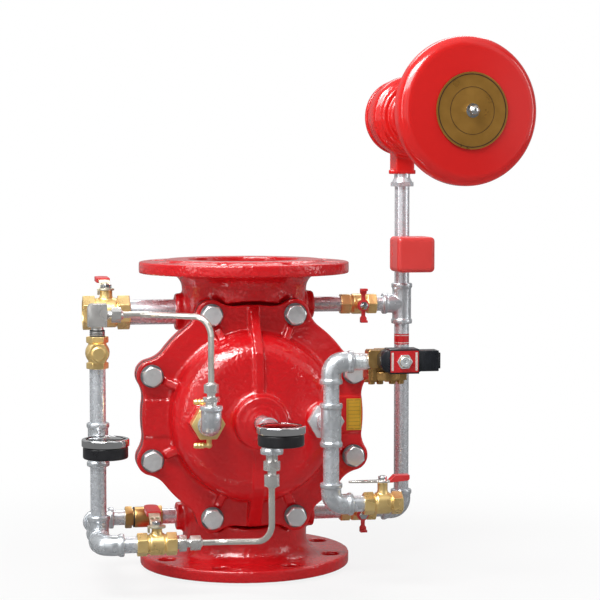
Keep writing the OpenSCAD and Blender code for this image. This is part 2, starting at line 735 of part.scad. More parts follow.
module cover_bushings() color("silver") {
    // hex bushing and nipple in the right boss
    bush_l = boss_face_y - thread_l + 1;
    translate([right_boss_x, -boss_face_y, cover_z]) towards_viewer() difference() {
        hex_rod(41, bushing_t);
        translate([0, 0, -eps]) cylinder(d = socket_d, h = bushing_t + 2 * eps);
    }
    pipe_y(right_boss_x, -right_y + seat_in, -bush_l, cover_z, pipe_d, pipe_bore);
    // nipple between the hub and its tee, and the one between the left boss and its elbow
    pipe_y(0, -hub_tee_y + seat_in, -hub_face_y + thread_l, cover_z, pipe_d, pipe_bore);
}

// Bent steel tube through rounded corners

function unit(v) = v / norm(v);
function corner(a, b, c, r, n = 7) =
    let (u = unit(a - b), v = unit(c - b), half = acos(u * v) / 2,
        centre = b + unit(u + v) * r / sin(half), e0 = unit(b + u * r / tan(half) - centre),
        turn = 180 - 2 * half)
    [for (i = [0:n]) centre + r * (e0 * cos(turn * i / n) - u * sin(turn * i / n))];
module tube_along(pts, d, sides = 12) {
    n = len(pts);
    function tangent(i) = unit(pts[min(i + 1, n - 1)] - pts[max(i - 1, 0)]);
    points = [for (i = [0:n - 1]) let (t = tangent(i), s = unit(cross(t, [0, 1, 0])), w = cross(s, t))
        for (k = [0:sides - 1]) pts[i] + d / 2 * (s * cos(360 * k / sides) + w * sin(360 * k / sides))];
    polyhedron(points, concat(
        [[for (k = [0:sides - 1]) k]],
        [[for (k = [sides - 1:-1:0]) (n - 1) * sides + k]],
        [for (i = [0:n - 2]) for (k = [0:sides - 1]) let (m = (k + 1) % sides) each [
            [i * sides + k, (i + 1) * sides + k, (i + 1) * sides + m],
            [i * sides + k, (i + 1) * sides + m, i * sides + m]
        ]]
    ));
}
control_from_x = -left_x + square_w / 2 + 21;
control_drop_x = -left_boss_x;
control_end_z = cover_z + fit_reach + 5 + 6 + 5 + 11 + 2;
hub_end_z = cover_z - fit_reach - 8 - 12 - 5 - 15 - 2;
hub_from_x = -supply_x + small_len / 2 + 3 + 9 + 5 + 13 + 2;
module steel_tubes() color("silver") {
    a0 = [control_from_x, -left_y, control_z];
    a1 = [control_from_x + 30, -left_y, control_z];
    a2 = [control_drop_x, -control_y, control_z];
    a3 = [control_drop_x, -control_y, control_end_z];
    tube_along(concat([a0], corner(a0, a1, a2, tube_bend, 3), corner(a1, a2, a3, tube_bend), [a3]), tube_d);
    b0 = [hub_from_x, -front_y, low_port_z];
    b1 = [hub_from_x + 26, -front_y, low_port_z];
    b2 = [0, -hub_tee_y, low_port_z + 9];
    b3 = [0, -hub_tee_y, hub_end_z];
    tube_along(concat([b0], corner(b0, b1, b2, tube_bend, 3), corner(b1, b2, b3, tube_bend), [b3]), tube_d);
}
// A compression fitting along +Z: thread, fixed hex, gap and nut, ending on the tube's end
module compression(thread, neck, hex_h, nut_h) {
    gap_z = neck + hex_h;
    nut_z = gap_z + 5;
    translate([0, 0, -thread]) cylinder(d = pipe_d, h = thread);
    cylinder(d = 15, h = neck + eps);
    translate([0, 0, neck]) intersection() {
        hex_rod(19, hex_h);
        soft_rod(21, hex_h, 1);
    }
    translate([0, 0, gap_z]) cylinder(d = 11, h = 5);
    translate([0, 0, nut_z]) intersection() {
        hex_rod(17, nut_h);
        soft_rod(19, nut_h, 1);
    }
    translate([0, 0, nut_z + nut_h]) cylinder(d1 = 14, d2 = tube_d + 2.5, h = 2);
}
module tube_fittings() color("gainsboro") {
    translate([-left_boss_x, -control_y, cover_z + fit_reach]) compression(thread_l, 5, 6, 11);
    translate([0, -hub_tee_y, cover_z - fit_reach]) mirror([0, 0, 1]) compression(thread_l, 8, 12, 15);
    translate([-supply_x + small_len / 2, -front_y, low_port_z]) along_x()
        compression(thread_l - 2, 3, 9, 13);
    // nut at the square elbow
    translate([-left_x + square_w / 2, -left_y, control_z]) along_x() {
        cylinder(d = 11, h = 6);
        translate([0, 0, 6]) hex_rod(17, 12);
        translate([0, 0, 18]) cylinder(d1 = 14, d2 = tube_d + 2.5, h = 3);
    }
}

// Square stainless elbow over the swing check valve, with its seal ring
module square_elbow() color("silver") translate([-left_x, -left_y, control_z]) {
    swing_top = swing_z + swing_len / 2 - control_z;
    difference() {
        union() {
            intersection() {
                translate([0, 0, -square_h / 2]) linear_extrude(square_h) square(square_w, center = true);
                towards_viewer() linear_extrude(square_w, center = true) {
                    translate([-square_w / 2, -square_h / 2]) square([square_w, square_h - 6]);
                    translate([-square_w / 2 + 6, -square_h / 2]) square([square_w - 6, square_h]);
                    translate([-square_w / 2 + 6, square_h / 2 - 6]) circle(6);
                }
            }
            translate([0, 0, swing_top - thread_l + 3])
                cylinder(d = 16, h = -swing_top - square_h / 2 + thread_l);
            translate([0, 0, swing_top]) soft_rod(19, 8, 1.5);
        }
        translate([0, 0, swing_top - thread_l]) cylinder(d = 8, h = -swing_top + thread_l);
        along_x() cylinder(d = 8, h = square_w);
    }
}

// Ball valves: bore along X, stem along +Z, shown closed

module valve_shell(len, af, ball_d, boss_d, boss_top, pipe, depth, stem_d) difference() {
    barrel_d = ball_d + 10;
    union() {
        both_ends(len) rotate([0, -90, 0]) intersection() {
            hex_rod(af, len * 0.26);
            soft_rod(2 * hex_r(af), len * 0.52, 1.5);
        }
        translate([-len / 2 + 6, 0, 0]) along_x() cylinder(d = af * 0.92, h = len - 12);
        translate([-barrel_d * 0.36, 0, 0]) along_x() soft_rod(barrel_d, barrel_d * 0.72, 3);
        cylinder(d = boss_d, h = boss_top);
        cylinder(d1 = boss_d + 8, d2 = boss_d, h = barrel_d / 2 + 3);
    }
    sphere(d = ball_d + 2 * fit);
    translate([-len, 0, 0]) along_x() cylinder(d = ball_d * 0.6, h = 2 * len);
    cylinder(d = stem_d + 2 * fit, h = boss_top + eps);
    both_ends(len) rotate([0, -90, 0]) translate([0, 0, -eps]) cylinder(d = pipe + 2 * fit, h = depth + eps);
}
module ball_and_stem(ball_d, stem_d, top, nut_at, nut_af, nut_t) {
    difference() {
        union() {
            sphere(d = ball_d);
            cylinder(d = stem_d, h = top);
        }
        translate([0, -ball_d, 0]) to_back() cylinder(d = ball_d * 0.6, h = 2 * ball_d);
    }
    translate([0, 0, nut_at]) hex_rod(nut_af, nut_t);
}
// A lever that runs back from the stem, rises at its neck and ends in a flat grip
lever_rise = 9;
lever_flat = 15;
lever_ramp = 18;
module lever_side(length) polygon([
    [-12, 0], [lever_flat, 0], [lever_flat + lever_ramp, lever_rise], [length, lever_rise],
    [length, lever_rise + lever_t], [lever_flat + lever_ramp - 1, lever_rise + lever_t],
    [lever_flat - 1, lever_t], [-12, lever_t]
]);
module lever_plan(length, hole) difference() {
    union() {
        circle(r = 11);
        translate([-lever_w / 2, 0]) square([lever_w, length - lever_w / 2]);
        translate([0, length - lever_w / 2]) circle(d = lever_w);
    }
    circle(d = hole + 2 * fit);
    for (s = [-1, 1]) translate([s * 3.6, lever_flat + lever_ramp / 2]) circle(2.2);
}
module lever(length, hole) {
    intersection() {
        translate([-20, 0, 0]) rotate([90, 0, 90]) linear_extrude(40) lever_side(length);
        translate([0, 0, -eps]) linear_extrude(2 * lever_rise + lever_t) lever_plan(length, hole);
    }
    // stop tab, bent down beside the stem
    translate([-11.5, -4, -6]) cube([lever_t, 8, 6 + lever_t]);
    translate([-11.5, -4, 0]) cube([6, 8, lever_t]);
}
module grip(length, grip_l) difference() {
    grip_w = lever_w + 4;
    grip_h = lever_t + 4;
    translate([0, length - grip_l, lever_rise - 2]) linear_extrude(grip_h) {
        translate([-grip_w / 2, 0]) square([grip_w, grip_l + 2 - grip_w / 2]);
        translate([0, grip_l + 2 - grip_w / 2]) circle(d = grip_w);
    }
    for (i = [0:5]) translate([0, length - grip_l + 8 + 7 * i, lever_rise - 2]) for (s = [-1, 1])
        translate([s * grip_w / 2, 0, -eps]) cylinder(r = 1, h = grip_h + 2 * eps);
    translate([0, 0, lever_rise]) linear_extrude(lever_t) {
        translate([-lever_w / 2, lever_flat]) square([lever_w, length - lever_flat - lever_w / 2]);
        translate([0, length - lever_w / 2]) circle(d = lever_w);
    }
}

drain_top = drain_ball_d / 2 + 15;
small_top = small_ball_d / 2 + 12;
test_top = small_top + 14;
stem_d = 8;
small_stem_d = 6;
nut_t = 5;

module at_drain() translate([-drain_x, 0, drain_port_z]) children();
module drain_valve_body() color("goldenrod") at_drain()
    valve_shell(drain_len, drain_af, drain_ball_d, 17, drain_top, drain_pipe_d, drain_nip_in - 4, stem_d);
module drain_ball_stem() color("darkgoldenrod") at_drain()
    ball_and_stem(drain_ball_d, stem_d, drain_top + lever_t + nut_t + 1, drain_top + lever_t, 13, nut_t);
module drain_lever() color("silver") at_drain() translate([0, 0, drain_top]) lever(drain_lever_l, stem_d);
module drain_grip() color("crimson") at_drain() translate([0, 0, drain_top]) grip(drain_lever_l, grip_l);

module at_supply() translate([-supply_x, -front_y, low_port_z]) children();
module supply_valve_body() color("goldenrod") at_supply()
    valve_shell(small_len, small_af, small_ball_d, 13, small_top, pipe_d, thread_l - 2, small_stem_d);
module supply_ball_stem() color("darkgoldenrod") at_supply() ball_and_stem(
    small_ball_d, small_stem_d, small_top + lever_t + nut_t + 1, small_top + lever_t, 10, nut_t);
module supply_lever() color("silver") at_supply() translate([0, 0, small_top])
    lever(supply_lever_l, small_stem_d);
module supply_grip() color("crimson") at_supply() translate([0, 0, small_top])
    grip(supply_lever_l, supply_grip_l);

module at_release() translate([release_x, -right_y, release_z]) children();
module release_valve_body() color("goldenrod") at_release()
    valve_shell(small_len, small_af, small_ball_d, 13, release_top, pipe_d, thread_l - 2, small_stem_d);
release_top = small_top + 6;
module release_ball_stem() color("darkgoldenrod") at_release() rotate([0, 0, 90]) ball_and_stem(
    small_ball_d, small_stem_d, release_top + lever_t + nut_t + 1, release_top + lever_t, 10, nut_t);
// Two-armed handle: a bare tapered arm to the left and a thick grip to the right
module release_handle() color("crimson") at_release() translate([0, 0, release_top]) {
    difference() {
        union() {
            linear_extrude(lever_t) {
                circle(r = 10);
                polygon([[0, 7], [-30, 5], [-44, 1.5], [-44, -1.5], [-30, -5], [0, -7]]);
                polygon([[0, 7], [12, 7], [12, -7], [0, -7]]);
            }
            translate([8, 7, 0]) rotate([90, 0, 0]) linear_extrude(14)
                polygon([[0, 0], [24, 2], [26, 4], [26, 9], [7, 9], [1, 3]]);
        }
        translate([0, 0, -eps]) cylinder(d = small_stem_d + 2 * fit, h = lever_t + 2 * eps);
        translate([0, 0, lever_t]) cylinder(d = 13, h = 12);
    }
}

module at_test(z) translate([test_x, 0, z]) rotate([90, 0, 0]) children();
module test_valve_bodies() color("goldenrod") for (z = [low_port_z, top_port_z]) at_test(z)
    valve_shell(small_len, small_af, small_ball_d, 13, test_top, pipe_d, thread_l - 2, small_stem_d);
module butterfly() {
    half = wing_span / 2;
    wing_w = 9;
    wing_l = 6;
    translate([0, 0, test_top]) difference() {
        union() {
            linear_extrude(3) {
                circle(r = 8);
                for (s = [-1, 1]) polygon([
                    [-3, 0], [3, 0], [2.5, s * (half - wing_l - 3)], [wing_w / 2, s * (half - wing_l)],
                    [wing_w / 2, s * half], [-wing_w / 2, s * half], [-wing_w / 2, s * (half - wing_l)],
                    [-2.5, s * (half - wing_l - 3)]
                ]);
            }
            // the tips bend forwards for the fingers
            for (s = [-1, 1]) translate([-wing_w / 2, s * (half - 1.5) - 1.5, 0]) cube([wing_w, 3, 10]);
        }
        translate([0, 0, -eps]) cylinder(d = small_stem_d + 2 * fit, h = 10);
    }
}
module test_handle(z) color("crimson") at_test(z) {
    butterfly();
    ball_and_stem(small_ball_d, small_stem_d, test_top + 3 + nut_t + 1, test_top + 3, 10, nut_t);
}
module upper_test_handle() test_handle(top_port_z);
module lower_test_handle() test_handle(low_port_z);

// In-line check valve: water enters at +X and lifts the poppet towards -X

module at_check() translate([-check_x, 0, low_port_z]) children();
check_bore = 9;
check_seat = 6;
module inline_check_body() color("goldenrod") at_check() difference() {
    union() {
        both_ends(check_len) rotate([0, -90, 0]) intersection() {
            hex_rod(small_af, 9);
            soft_rod(2 * hex_r(small_af), 18, 1.5);
        }
        translate([-check_len / 2 + 6, 0, 0]) along_x() cylinder(d = small_af * 0.88, h = check_len - 12);
        translate([-check_len / 2 + 12, 0, 0]) along_x() soft_rod(small_af + 2, 24, 2);
    }
    for (x = [-1, 20]) translate([x - check_len / 2 + 12, 0, 0]) along_x()
        pipe(small_af + 6, small_af - 1, 1.6);
    both_ends(check_len) rotate([0, -90, 0]) translate([0, 0, -eps])
        cylinder(d = socket_d, h = thread_l - 2 + eps);
    translate([check_seat - 16, 0, 0]) along_x() cylinder(r = check_bore, h = 19);
    translate([0, 0, 0]) along_x() cylinder(r = check_seat, h = check_len / 2);
    translate([-check_len / 2, 0, 0]) along_x() cylinder(r = 2.5 + fit, h = check_len / 2);
    for (a = [0:60:300]) rotate([a, 0, 0]) translate([-check_len / 2, 0, 5.6]) along_x()
        cylinder(r = 1.8, h = check_len / 2);
}
module inline_check_poppet() color("darkgoldenrod") at_check() {
    translate([check_seat, 0, 0]) along_x() cylinder(r = check_bore - 1.5, h = 3);
    translate([-12.5, 0, 0]) along_x() cylinder(r = 2.5, h = check_seat + 13);
}
module inline_check_spring() color("silver") at_check()
    translate([check_seat - 16, 0, 0]) along_x() coil(11, 1, 16, 5);

// Swing check valve: a flapper that lies on its seat and swings up about a pin

module at_swing() translate([-left_x, -left_y, swing_z]) children();
swing_cavity = 12.8;
pin_y = 9.5;
pin_z = -1.6;
pin_r = 1.2;
module swing_check_body() color("goldenrod") at_swing() difference() {
    union() {
        for (s = [0, 1]) mirror([0, 0, s]) translate([0, 0, swing_len / 2 - 8]) intersection() {
            hex_rod(25, 8);
            soft_rod(2 * hex_r(25), 8, 1.2);
        }
        translate([0, 0, -swing_len / 2 + 6]) cylinder(d = 23, h = swing_len - 12);
        sphere(d = 31);
        towards_viewer() cylinder(d = 21, h = 16.5);
    }
    intersection() {
        sphere(swing_cavity);
        translate([-20, -20, -5]) cube(40);
    }
    translate([0, 0, -swing_len]) cylinder(d = 12, h = 2 * swing_len);
    for (s = [0, 1]) mirror([0, 0, s]) translate([0, 0, swing_len / 2 - thread_l + 3])
        cylinder(d = s == 1 ? socket_d : 16 + 2 * fit, h = thread_l);
    towards_viewer() cylinder(d = 15, h = 20);
    translate([-10.5, pin_y, pin_z]) along_x() cylinder(r = pin_r + fit, h = 21);
}
module swing_check_cap() color("goldenrod") at_swing() translate([0, -16.5, 0]) towards_viewer() {
    intersection() {
        hex_rod(24, 6);
        soft_rod(2 * hex_r(24), 12, 1.2);
    }
    translate([0, 0, 5]) soft_rod(17, 3.5, 1.5);
    translate([0, 0, -5]) cylinder(d = 15 - 2 * fit, h = 5 + eps);
}
module swing_check_flapper() color("darkgoldenrod") at_swing() {
    translate([0, 0, -5]) cylinder(r = 8, h = 2);
    translate([-2.5, 0, -5]) cube([5, pin_y, 2]);
    translate([-10.3, pin_y, pin_z]) along_x() cylinder(r = pin_r, h = 20.6);
    translate([-2.5, pin_y - 1.5, -5]) cube([5, 1.5, 4]);
}

// Gauges lie flat with their dials up, on a stem from a tee

module at_gauges() {
    translate([-left_x, -left_y, gauge_tee_z]) rotate([0, 0, left_gauge_turn]) children();
    translate([0, -hub_tee_y, cover_z]) children();
}
gauge_y = fit_reach + gauge_stem_l + gauge_d / 2 - 1.5;
module gauge_stems() color("goldenrod") at_gauges() translate([0, -fit_reach, 0]) {
    translate([0, thread_l, 0]) towards_viewer() pipe(pipe_d, 5, thread_l);
    towards_viewer() pipe(fit_d, 5, 2);
    difference() {
        translate([-7, -gauge_stem_l - 2, -7]) cube([14, gauge_stem_l + 1, 14]);
        translate([0, fit_reach - gauge_y, -gauge_case_h])
            cylinder(d = gauge_d - 3 + 2 * fit, h = 2 * gauge_case_h);
        translate([0, 1, 0]) towards_viewer() cylinder(d = 5, h = 8);
    }
}
module gauge_cases() color("black") at_gauges() translate([0, -gauge_y, -gauge_case_h / 2])
    difference() {
        soft_rod(gauge_d - 3, gauge_case_h, 2.5);
        translate([0, 0, gauge_case_h - 3]) cylinder(d = gauge_d - 9, h = 3 + eps);
    }
module gauge_bezels() color("gainsboro") at_gauges() translate([0, -gauge_y, gauge_case_h / 2])
    difference() {
        soft_rod(gauge_d, gauge_bezel_h, 1.5);
        translate([0, 0, -eps]) cylinder(d = gauge_d - 9, h = gauge_bezel_h + 2 * eps);
        translate([0, 0, gauge_bezel_h - 4]) cylinder(d = gauge_d - 5, h = 1.5 + 2 * fit);
    }
module gauge_lenses() color("azure") at_gauges()
    translate([0, -gauge_y, gauge_case_h / 2 + gauge_bezel_h - 4 + fit]) cylinder(d = gauge_d - 5.2, h = 1.5);
module pointer() color("black") translate([0, -gauge_y, gauge_case_h / 2 - 3 + fit]) {
    cylinder(r = 2.5, h = 3);
    translate([0, 0, 1.5]) linear_extrude(0.8) polygon([
        [-1.6, -9], [1.6, -9], [0.5, gauge_d / 2 - 10], [-0.5, gauge_d / 2 - 10]
    ]);
}
pointer_zero = -45; // the pointer's rest, turned from the stem's side
module left_gauge_pointer() translate([-left_x, -left_y, gauge_tee_z])
    rotate([0, 0, left_gauge_turn]) spin_at_gauge(pointer_zero) pointer();
module hub_gauge_pointer() translate([0, -hub_tee_y, cover_z]) spin_at_gauge(pointer_zero) pointer();
module spin_at_gauge(a) translate([0, -gauge_y, 0]) rotate([0, 0, a]) translate([0, gauge_y, 0]) children();

// Anti-reset device on the left boss

left_face_y = cover_face_y + dome_h + left_boss_h;
anti_t = control_y - fit_reach - left_face_y - 1;
module at_anti() translate([-left_boss_x, -left_face_y, cover_z]) towards_viewer() children();
module anti_reset_body() color("goldenrod") at_anti() {
    difference() {
        union() {
            intersection() {
                hex_rod(38, anti_t);
                soft_rod(2 * hex_r(38), anti_t, 2);
            }
            translate([0, 0, -thread_l + 1]) cylinder(d = pipe_d, h = thread_l);
            cylinder(d = pipe_d, h = control_y - seat_in - left_face_y);
        }
        translate([0, 0, -thread_l]) cylinder(r = 4, h = 2 * thread_l + anti_t + 20);
        translate([0, 0, 1]) cylinder(r = 6.05, h = 9);
    }
    // an L-shaped hose barb above and below, both pointing left
    for (s = [-1, 1]) mirror([0, s < 0 ? 1 : 0, 0]) translate([2, 19 - 1, anti_t / 2]) {
        rotate([-90, 0, 0]) cylinder(d = 7, h = 10);
        translate([0, 10, 0]) sphere(d = 8);
        translate([0, 10, 0]) rotate([0, -90, 0]) {
            cylinder(d = 6, h = 20);
            for (i = [0:2]) translate([0, 0, 7 + 4.2 * i]) cylinder(d1 = 8.4, d2 = 6.2, h = 4);
        }
    }
}
module anti_reset_plunger() color("silver") at_anti() translate([0, 0, 1.2]) difference() {
    cylinder(r = 6, h = 5);
    for (a = [0:90:270]) rotate([0, 0, a]) translate([5, 0, -eps]) cylinder(r = 0.8, h = 6);
}

// Solenoid valve, with its coil facing forwards

block_x = 130;
block_w = 16;
coil_z = solenoid_z + 3;
coil_back = 19;
coil_l = 30;
solenoid_out_d = 15;
// Local Z runs forwards along the armature tube, from inside the body
module at_coil() translate([coil_x, 10 - right_y, coil_z]) towards_viewer() children();
module solenoid_body() color("goldenrod") {
    slab_z = solenoid_z - 24;
    end_x = coil_x + 11;
    difference() {
        union() {
            // inlet block with a chamfered foot, and the post under it
            translate([block_x, -right_y + 13, 0]) rotate([90, 0, 0]) linear_extrude(24) polygon([
                [0, solenoid_z - 3], [3, solenoid_z - 8], [block_w - 3, solenoid_z - 8],
                [block_w, solenoid_z - 3], [block_w, solenoid_z + 13], [block_w - 2, solenoid_z + 15],
                [2, solenoid_z + 15], [0, solenoid_z + 13]
            ]);
            translate([block_x + 5, -right_y - 9, slab_z]) cube([6, 20, 20]);
            translate([block_x + 1, -right_y - 6, slab_z]) cube([end_x - block_x - 1, 36, 15]);
            translate([block_x + 26, -right_y + 11, slab_z]) cylinder(r = 23, h = 11);
            translate([block_x + 14, -right_y - 8, slab_z + 14])
                cube([end_x - block_x - 14, 30, coil_z + 12 - slab_z - 14]);
            at_coil() cylinder(d = 14, h = coil_back + coil_l + 5);
        }
        translate([block_x - eps, -right_y, solenoid_z]) along_x()
            cylinder(d = socket_d, h = thread_l + 0.2 + eps);
        translate([block_x, -right_y, solenoid_z]) along_x() cylinder(d = 7, h = coil_x - block_x);
        at_coil() translate([0, 0, -4]) cylinder(r = 5 + fit, h = coil_back + coil_l + 7);
        translate([end_x + eps, -right_y + 14, slab_z + 9]) rotate([0, -90, 0]) {
            cylinder(d = solenoid_out_d, h = 11);
            cylinder(d = 5, h = 30);
        }
    }
    // bonnet bolts, seen from below
    for (x = [6, 17, 33, 44]) for (y = [-1, 25]) translate([block_x + x, -right_y + y, slab_z - 5])
        intersection() {
            hex_rod(8, 6);
            soft_rod(9, 6, 0.8);
        }
}
module solenoid_coil() color("black") at_coil() translate([0, 0, coil_back]) difference() {
    union() {
        translate([-19, -15.5, 0]) cube([38, 31, coil_l]);
        translate([-21, -13.5, 2]) cube([42, 27, coil_l - 4]);
        translate([-29, -13, 3]) intersection() {
            cube([12, 26, coil_l - 6]);
            translate([14, 13, -1]) cylinder(r = 15, h = coil_l);
        }
    }
    translate([0, 0, -eps]) cylinder(d = 14 + 2 * fit, h = coil_l + 2 * eps);
}
module solenoid_connector() color("black") at_coil() translate([21, -13, coil_back + 3]) {
    cube([24, 26, coil_l - 6]);
    translate([24, 3, 3]) cube([3, 20, coil_l - 12]);
}
module solenoid_nut() color("silver") at_coil() translate([0, 0, coil_back + coil_l]) difference() {
    hex_rod(17, 4);
    translate([0, 0, -eps]) cylinder(d = 14 + 2 * fit, h = 6);
}
plunger_l = 26;
module solenoid_plunger() color("silver") at_coil() translate([0, 0, -4]) cylinder(r = 5, h = plunger_l);
module solenoid_spring() color("silver") at_coil() translate([0, 0, plunger_l - 4])
    coil(7, 1, coil_back + coil_l + 7 - plunger_l, 8);

// Pressure switch on the riser

module at_switch() translate([riser_x - 20, -12, switch_z]) children();
module soft_box(w, d, h, r) {
    translate([r, -d, 0]) cube([w - 2 * r, d, h]);
    translate([0, -d, r]) cube([w, d, h - 2 * r]);
    for (x = [r, w - r]) for (z = [r, h - r]) translate([x, 0, z]) rotate([90, 0, 0]) cylinder(r = r, h = d);
}
module pressure_switch_base() color("firebrick") at_switch() {
    soft_box(switch_w, 14, switch_h, 6);
    // boss onto the riser's side outlet
    difference() {
        translate([20, 0, switch_h / 2]) to_back() cylinder(d = 30, h = 12);
        translate([20, 12, -eps]) cylinder(d = socket_d, h = switch_h + 2 * eps);
    }
}
module pressure_switch_cover() color("crimson") at_switch() translate([0, -14, 0]) difference() {
    intersection() {
        soft_box(switch_w, switch_depth - 14, switch_h, 6);
        union() {
            translate([0, -switch_depth + 14 + 6, 0]) cube([switch_w, switch_depth, switch_h]);
            translate([6, -switch_depth + 14, 6]) cube([switch_w - 12, switch_depth, switch_h - 12]);
            for (z = [6, switch_h - 6]) translate([6, -switch_depth + 20, z]) along_x()
                cylinder(r = 6, h = switch_w - 12);
            for (x = [6, switch_w - 6]) translate([x, -switch_depth + 20, 6])
                cylinder(r = 6, h = switch_h - 12);
            for (x = [6, switch_w - 6]) for (z = [6, switch_h - 6])
                translate([x, -switch_depth + 20, z]) sphere(6);
        }
    }
    translate([-1, -4, switch_h / 2 - 1.5]) cube([3, 5, 3]);
}

// Water motor and gong, about an axis turned by gong_turn; local Z points to the gong

module at_gong() translate([riser_x + gong_shift, 0, gong_z]) rotate([0, 0, gong_turn])
    towards_viewer() children();
module at_inlet() translate([riser_x, 0, motor_inlet_z]) rotate([0, 0, gong_turn]) children();
motor_inlet_z = 533;
reducer_z = 516;
shaft_d = 16;
rod_d = 10;
drum_back = -16;
drum_front = drum_back + drum_depth;
sleeve_end = gong_reach - gong_depth - 50;
hammer_r = gong_d / 2 - 20;
hammer_z = gong_reach - 15;
module motor_housing() color("firebrick") difference() {
    union() {
        at_gong() {
            translate([0, 0, drum_back]) soft_rod(drum_d - 8, 24, 3);
            translate([0, 0, drum_back + 15]) soft_rod(drum_d, 27, 9);
            translate([0, 0, drum_back + 30]) soft_rod(drum_d - 16, 20, 5);
            translate([0, 0, drum_back + 40]) soft_rod(drum_d - 34, 18, 5);
            translate([0, 0, drum_back + 50]) soft_rod(drum_d - 56, drum_depth - 50, 5);
            cylinder(d = sleeve_d, h = sleeve_end);
            translate([0, 0, sleeve_end - 16]) soft_rod(sleeve_d + 8, 16, 2);
        }
        // inlet neck on a flange with two lugs
        at_inlet() {
            translate([-13.5, -13, 2]) cube([27, 26, 42]);
            translate([-13, -12, 0]) cube([26, 24, 6]);
            for (s = [-1, 1]) translate([s * 13, 0, 0]) cylinder(r = 6.5, h = 6);
        }
    }
    at_gong() {
        translate([0, 0, drum_back - eps]) cylinder(d = drum_d - 24, h = 32 + eps);
        translate([0, 0, drum_back]) cylinder(d = shaft_d + 2 * fit, h = gong_reach);
    }
    at_inlet() {
        translate([0, 0, -eps]) cylinder(d = 22 + 2 * fit, h = thread_l + eps);
        cylinder(d = 12, h = 40);
    }
}
module motor_rotor() color("silver") at_gong() {
    wheel_r = drum_d / 2 - 15;
    difference() {
        union() {
            translate([0, 0, drum_back + 9]) cylinder(d = shaft_d, h = sleeve_end + 14 - drum_back - 9);
            translate([0, 0, drum_back + 10]) cylinder(r = wheel_r - 10, h = 16);
            for (a = [0:30:330]) rotate([0, 0, a]) translate([wheel_r - 12, -1.5, drum_back + 10])
                cube([12, 3, 16]);
            // striker arm hanging down, with its hammer inside the gong
            translate([0, 0, sleeve_end + 2]) cylinder(d = 26, h = 10);
            rotate([0, 0, -90]) {
                translate([0, -6, sleeve_end + 3]) cube([hammer_r, 12, 7]);
                translate([hammer_r, 0, sleeve_end + 3]) cylinder(d = 12, h = 7);
                translate([hammer_r, 0, sleeve_end + 3]) cylinder(d = 8, h = hammer_z - sleeve_end);
                translate([hammer_r, 0, hammer_z]) sphere(9);
            }
        }
        translate([0, 0, drum_back]) cylinder(d = rod_d + 2 * fit, h = gong_reach);
    }
}
module gong_profile(grow) {
    r = gong_d / 2 + grow;
    edge = 14;
    polygon([
        [0, -gong_depth - 12], [r, -gong_depth - 12], [r, -edge], [r - edge, -edge], [r - edge, 0], [0, 2]
    ]);
    translate([r - edge, -edge]) circle(edge);
}
module gong() color("red") at_gong() translate([0, 0, gong_reach]) difference() {
    rotate_extrude() intersection() {
        gong_profile(0);
        translate([0, -gong_depth]) square([gong_d, 2 * gong_depth]);
    }
    translate([0, 0, -gong_t]) rotate_extrude() intersection() {
        gong_profile(-gong_t);
        translate([0, -2 * gong_depth]) square([gong_d, 3 * gong_depth]);
    }
    translate([0, 0, -2 * gong_depth]) cylinder(d = rod_d + 2 * fit, h = 4 * gong_depth);
}
module gong_plate() color("peru") at_gong() translate([0, 0, gong_reach + 2]) difference() {
    union() {
        cylinder(d = plate_d, h = 1.2);
    }
    translate([0, 0, -eps]) cylinder(d = rod_d + 2 * fit, h = 4);
}
module gong_tie_rod() color("silver") at_gong() {
    back = drum_back - 7;
    front = gong_reach + 3.2;
    translate([0, 0, back]) cylinder(d = rod_d, h = front - back);
    translate([0, 0, back - 8]) hex_rod(17, 8);
    // rear cover plate, held by the rod's head
    difference() {
        translate([0, 0, drum_back - 7]) soft_rod(drum_d - 6, 7, 1.5);
        translate([0, 0, drum_back - 8]) cylinder(d = rod_d - 1, h = 9);
    }
    // spacer behind the gong, acorn nut in front
    translate([0, 0, sleeve_end + 15]) cylinder(d = 18, h = gong_reach - gong_t - sleeve_end - 15);
    translate([0, 0, front]) cylinder(d = 18, h = 1.5);
    translate([0, 0, front + 1.5]) hex_rod(14, 5);
    translate([0, 0, front + 5]) intersection() {
        sphere(6.6);
        cylinder(r = 7, h = 8);
    }
}

valve_body();
cover();
seat_ring();
diaphragm();
valve_disc();
disc_seal();
disc_clamp();
closing_spring();
cover_bolts();
nameplate();
drain_valve_body();
drain_ball_stem();
drain_lever();
drain_grip();
inline_check_body();
inline_check_poppet();
inline_check_spring();
supply_valve_body();
supply_ball_stem();
supply_lever();
supply_grip();
left_pipes();
right_pipes();
riser_pipes();
elbows();
tees();
cover_bushings();
swing_check_body();
swing_check_cap();
swing_check_flapper();
square_elbow();
steel_tubes();
tube_fittings();
gauge_cases();
gauge_bezels();
gauge_lenses();
gauge_stems();
left_gauge_pointer();
hub_gauge_pointer();
anti_reset_body();
anti_reset_plunger();
solenoid_body();
solenoid_coil();
solenoid_connector();
solenoid_nut();
solenoid_plunger();
solenoid_spring();
release_valve_body();
release_ball_stem();
release_handle();
test_valve_bodies();
upper_test_handle();
lower_test_handle();
pressure_switch_base();
pressure_switch_cover();
motor_housing();
motor_rotor();
gong();
gong_plate();
gong_tie_rod();
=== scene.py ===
import json
import math

import bmesh
import bpy
from mathutils import Matrix, Vector


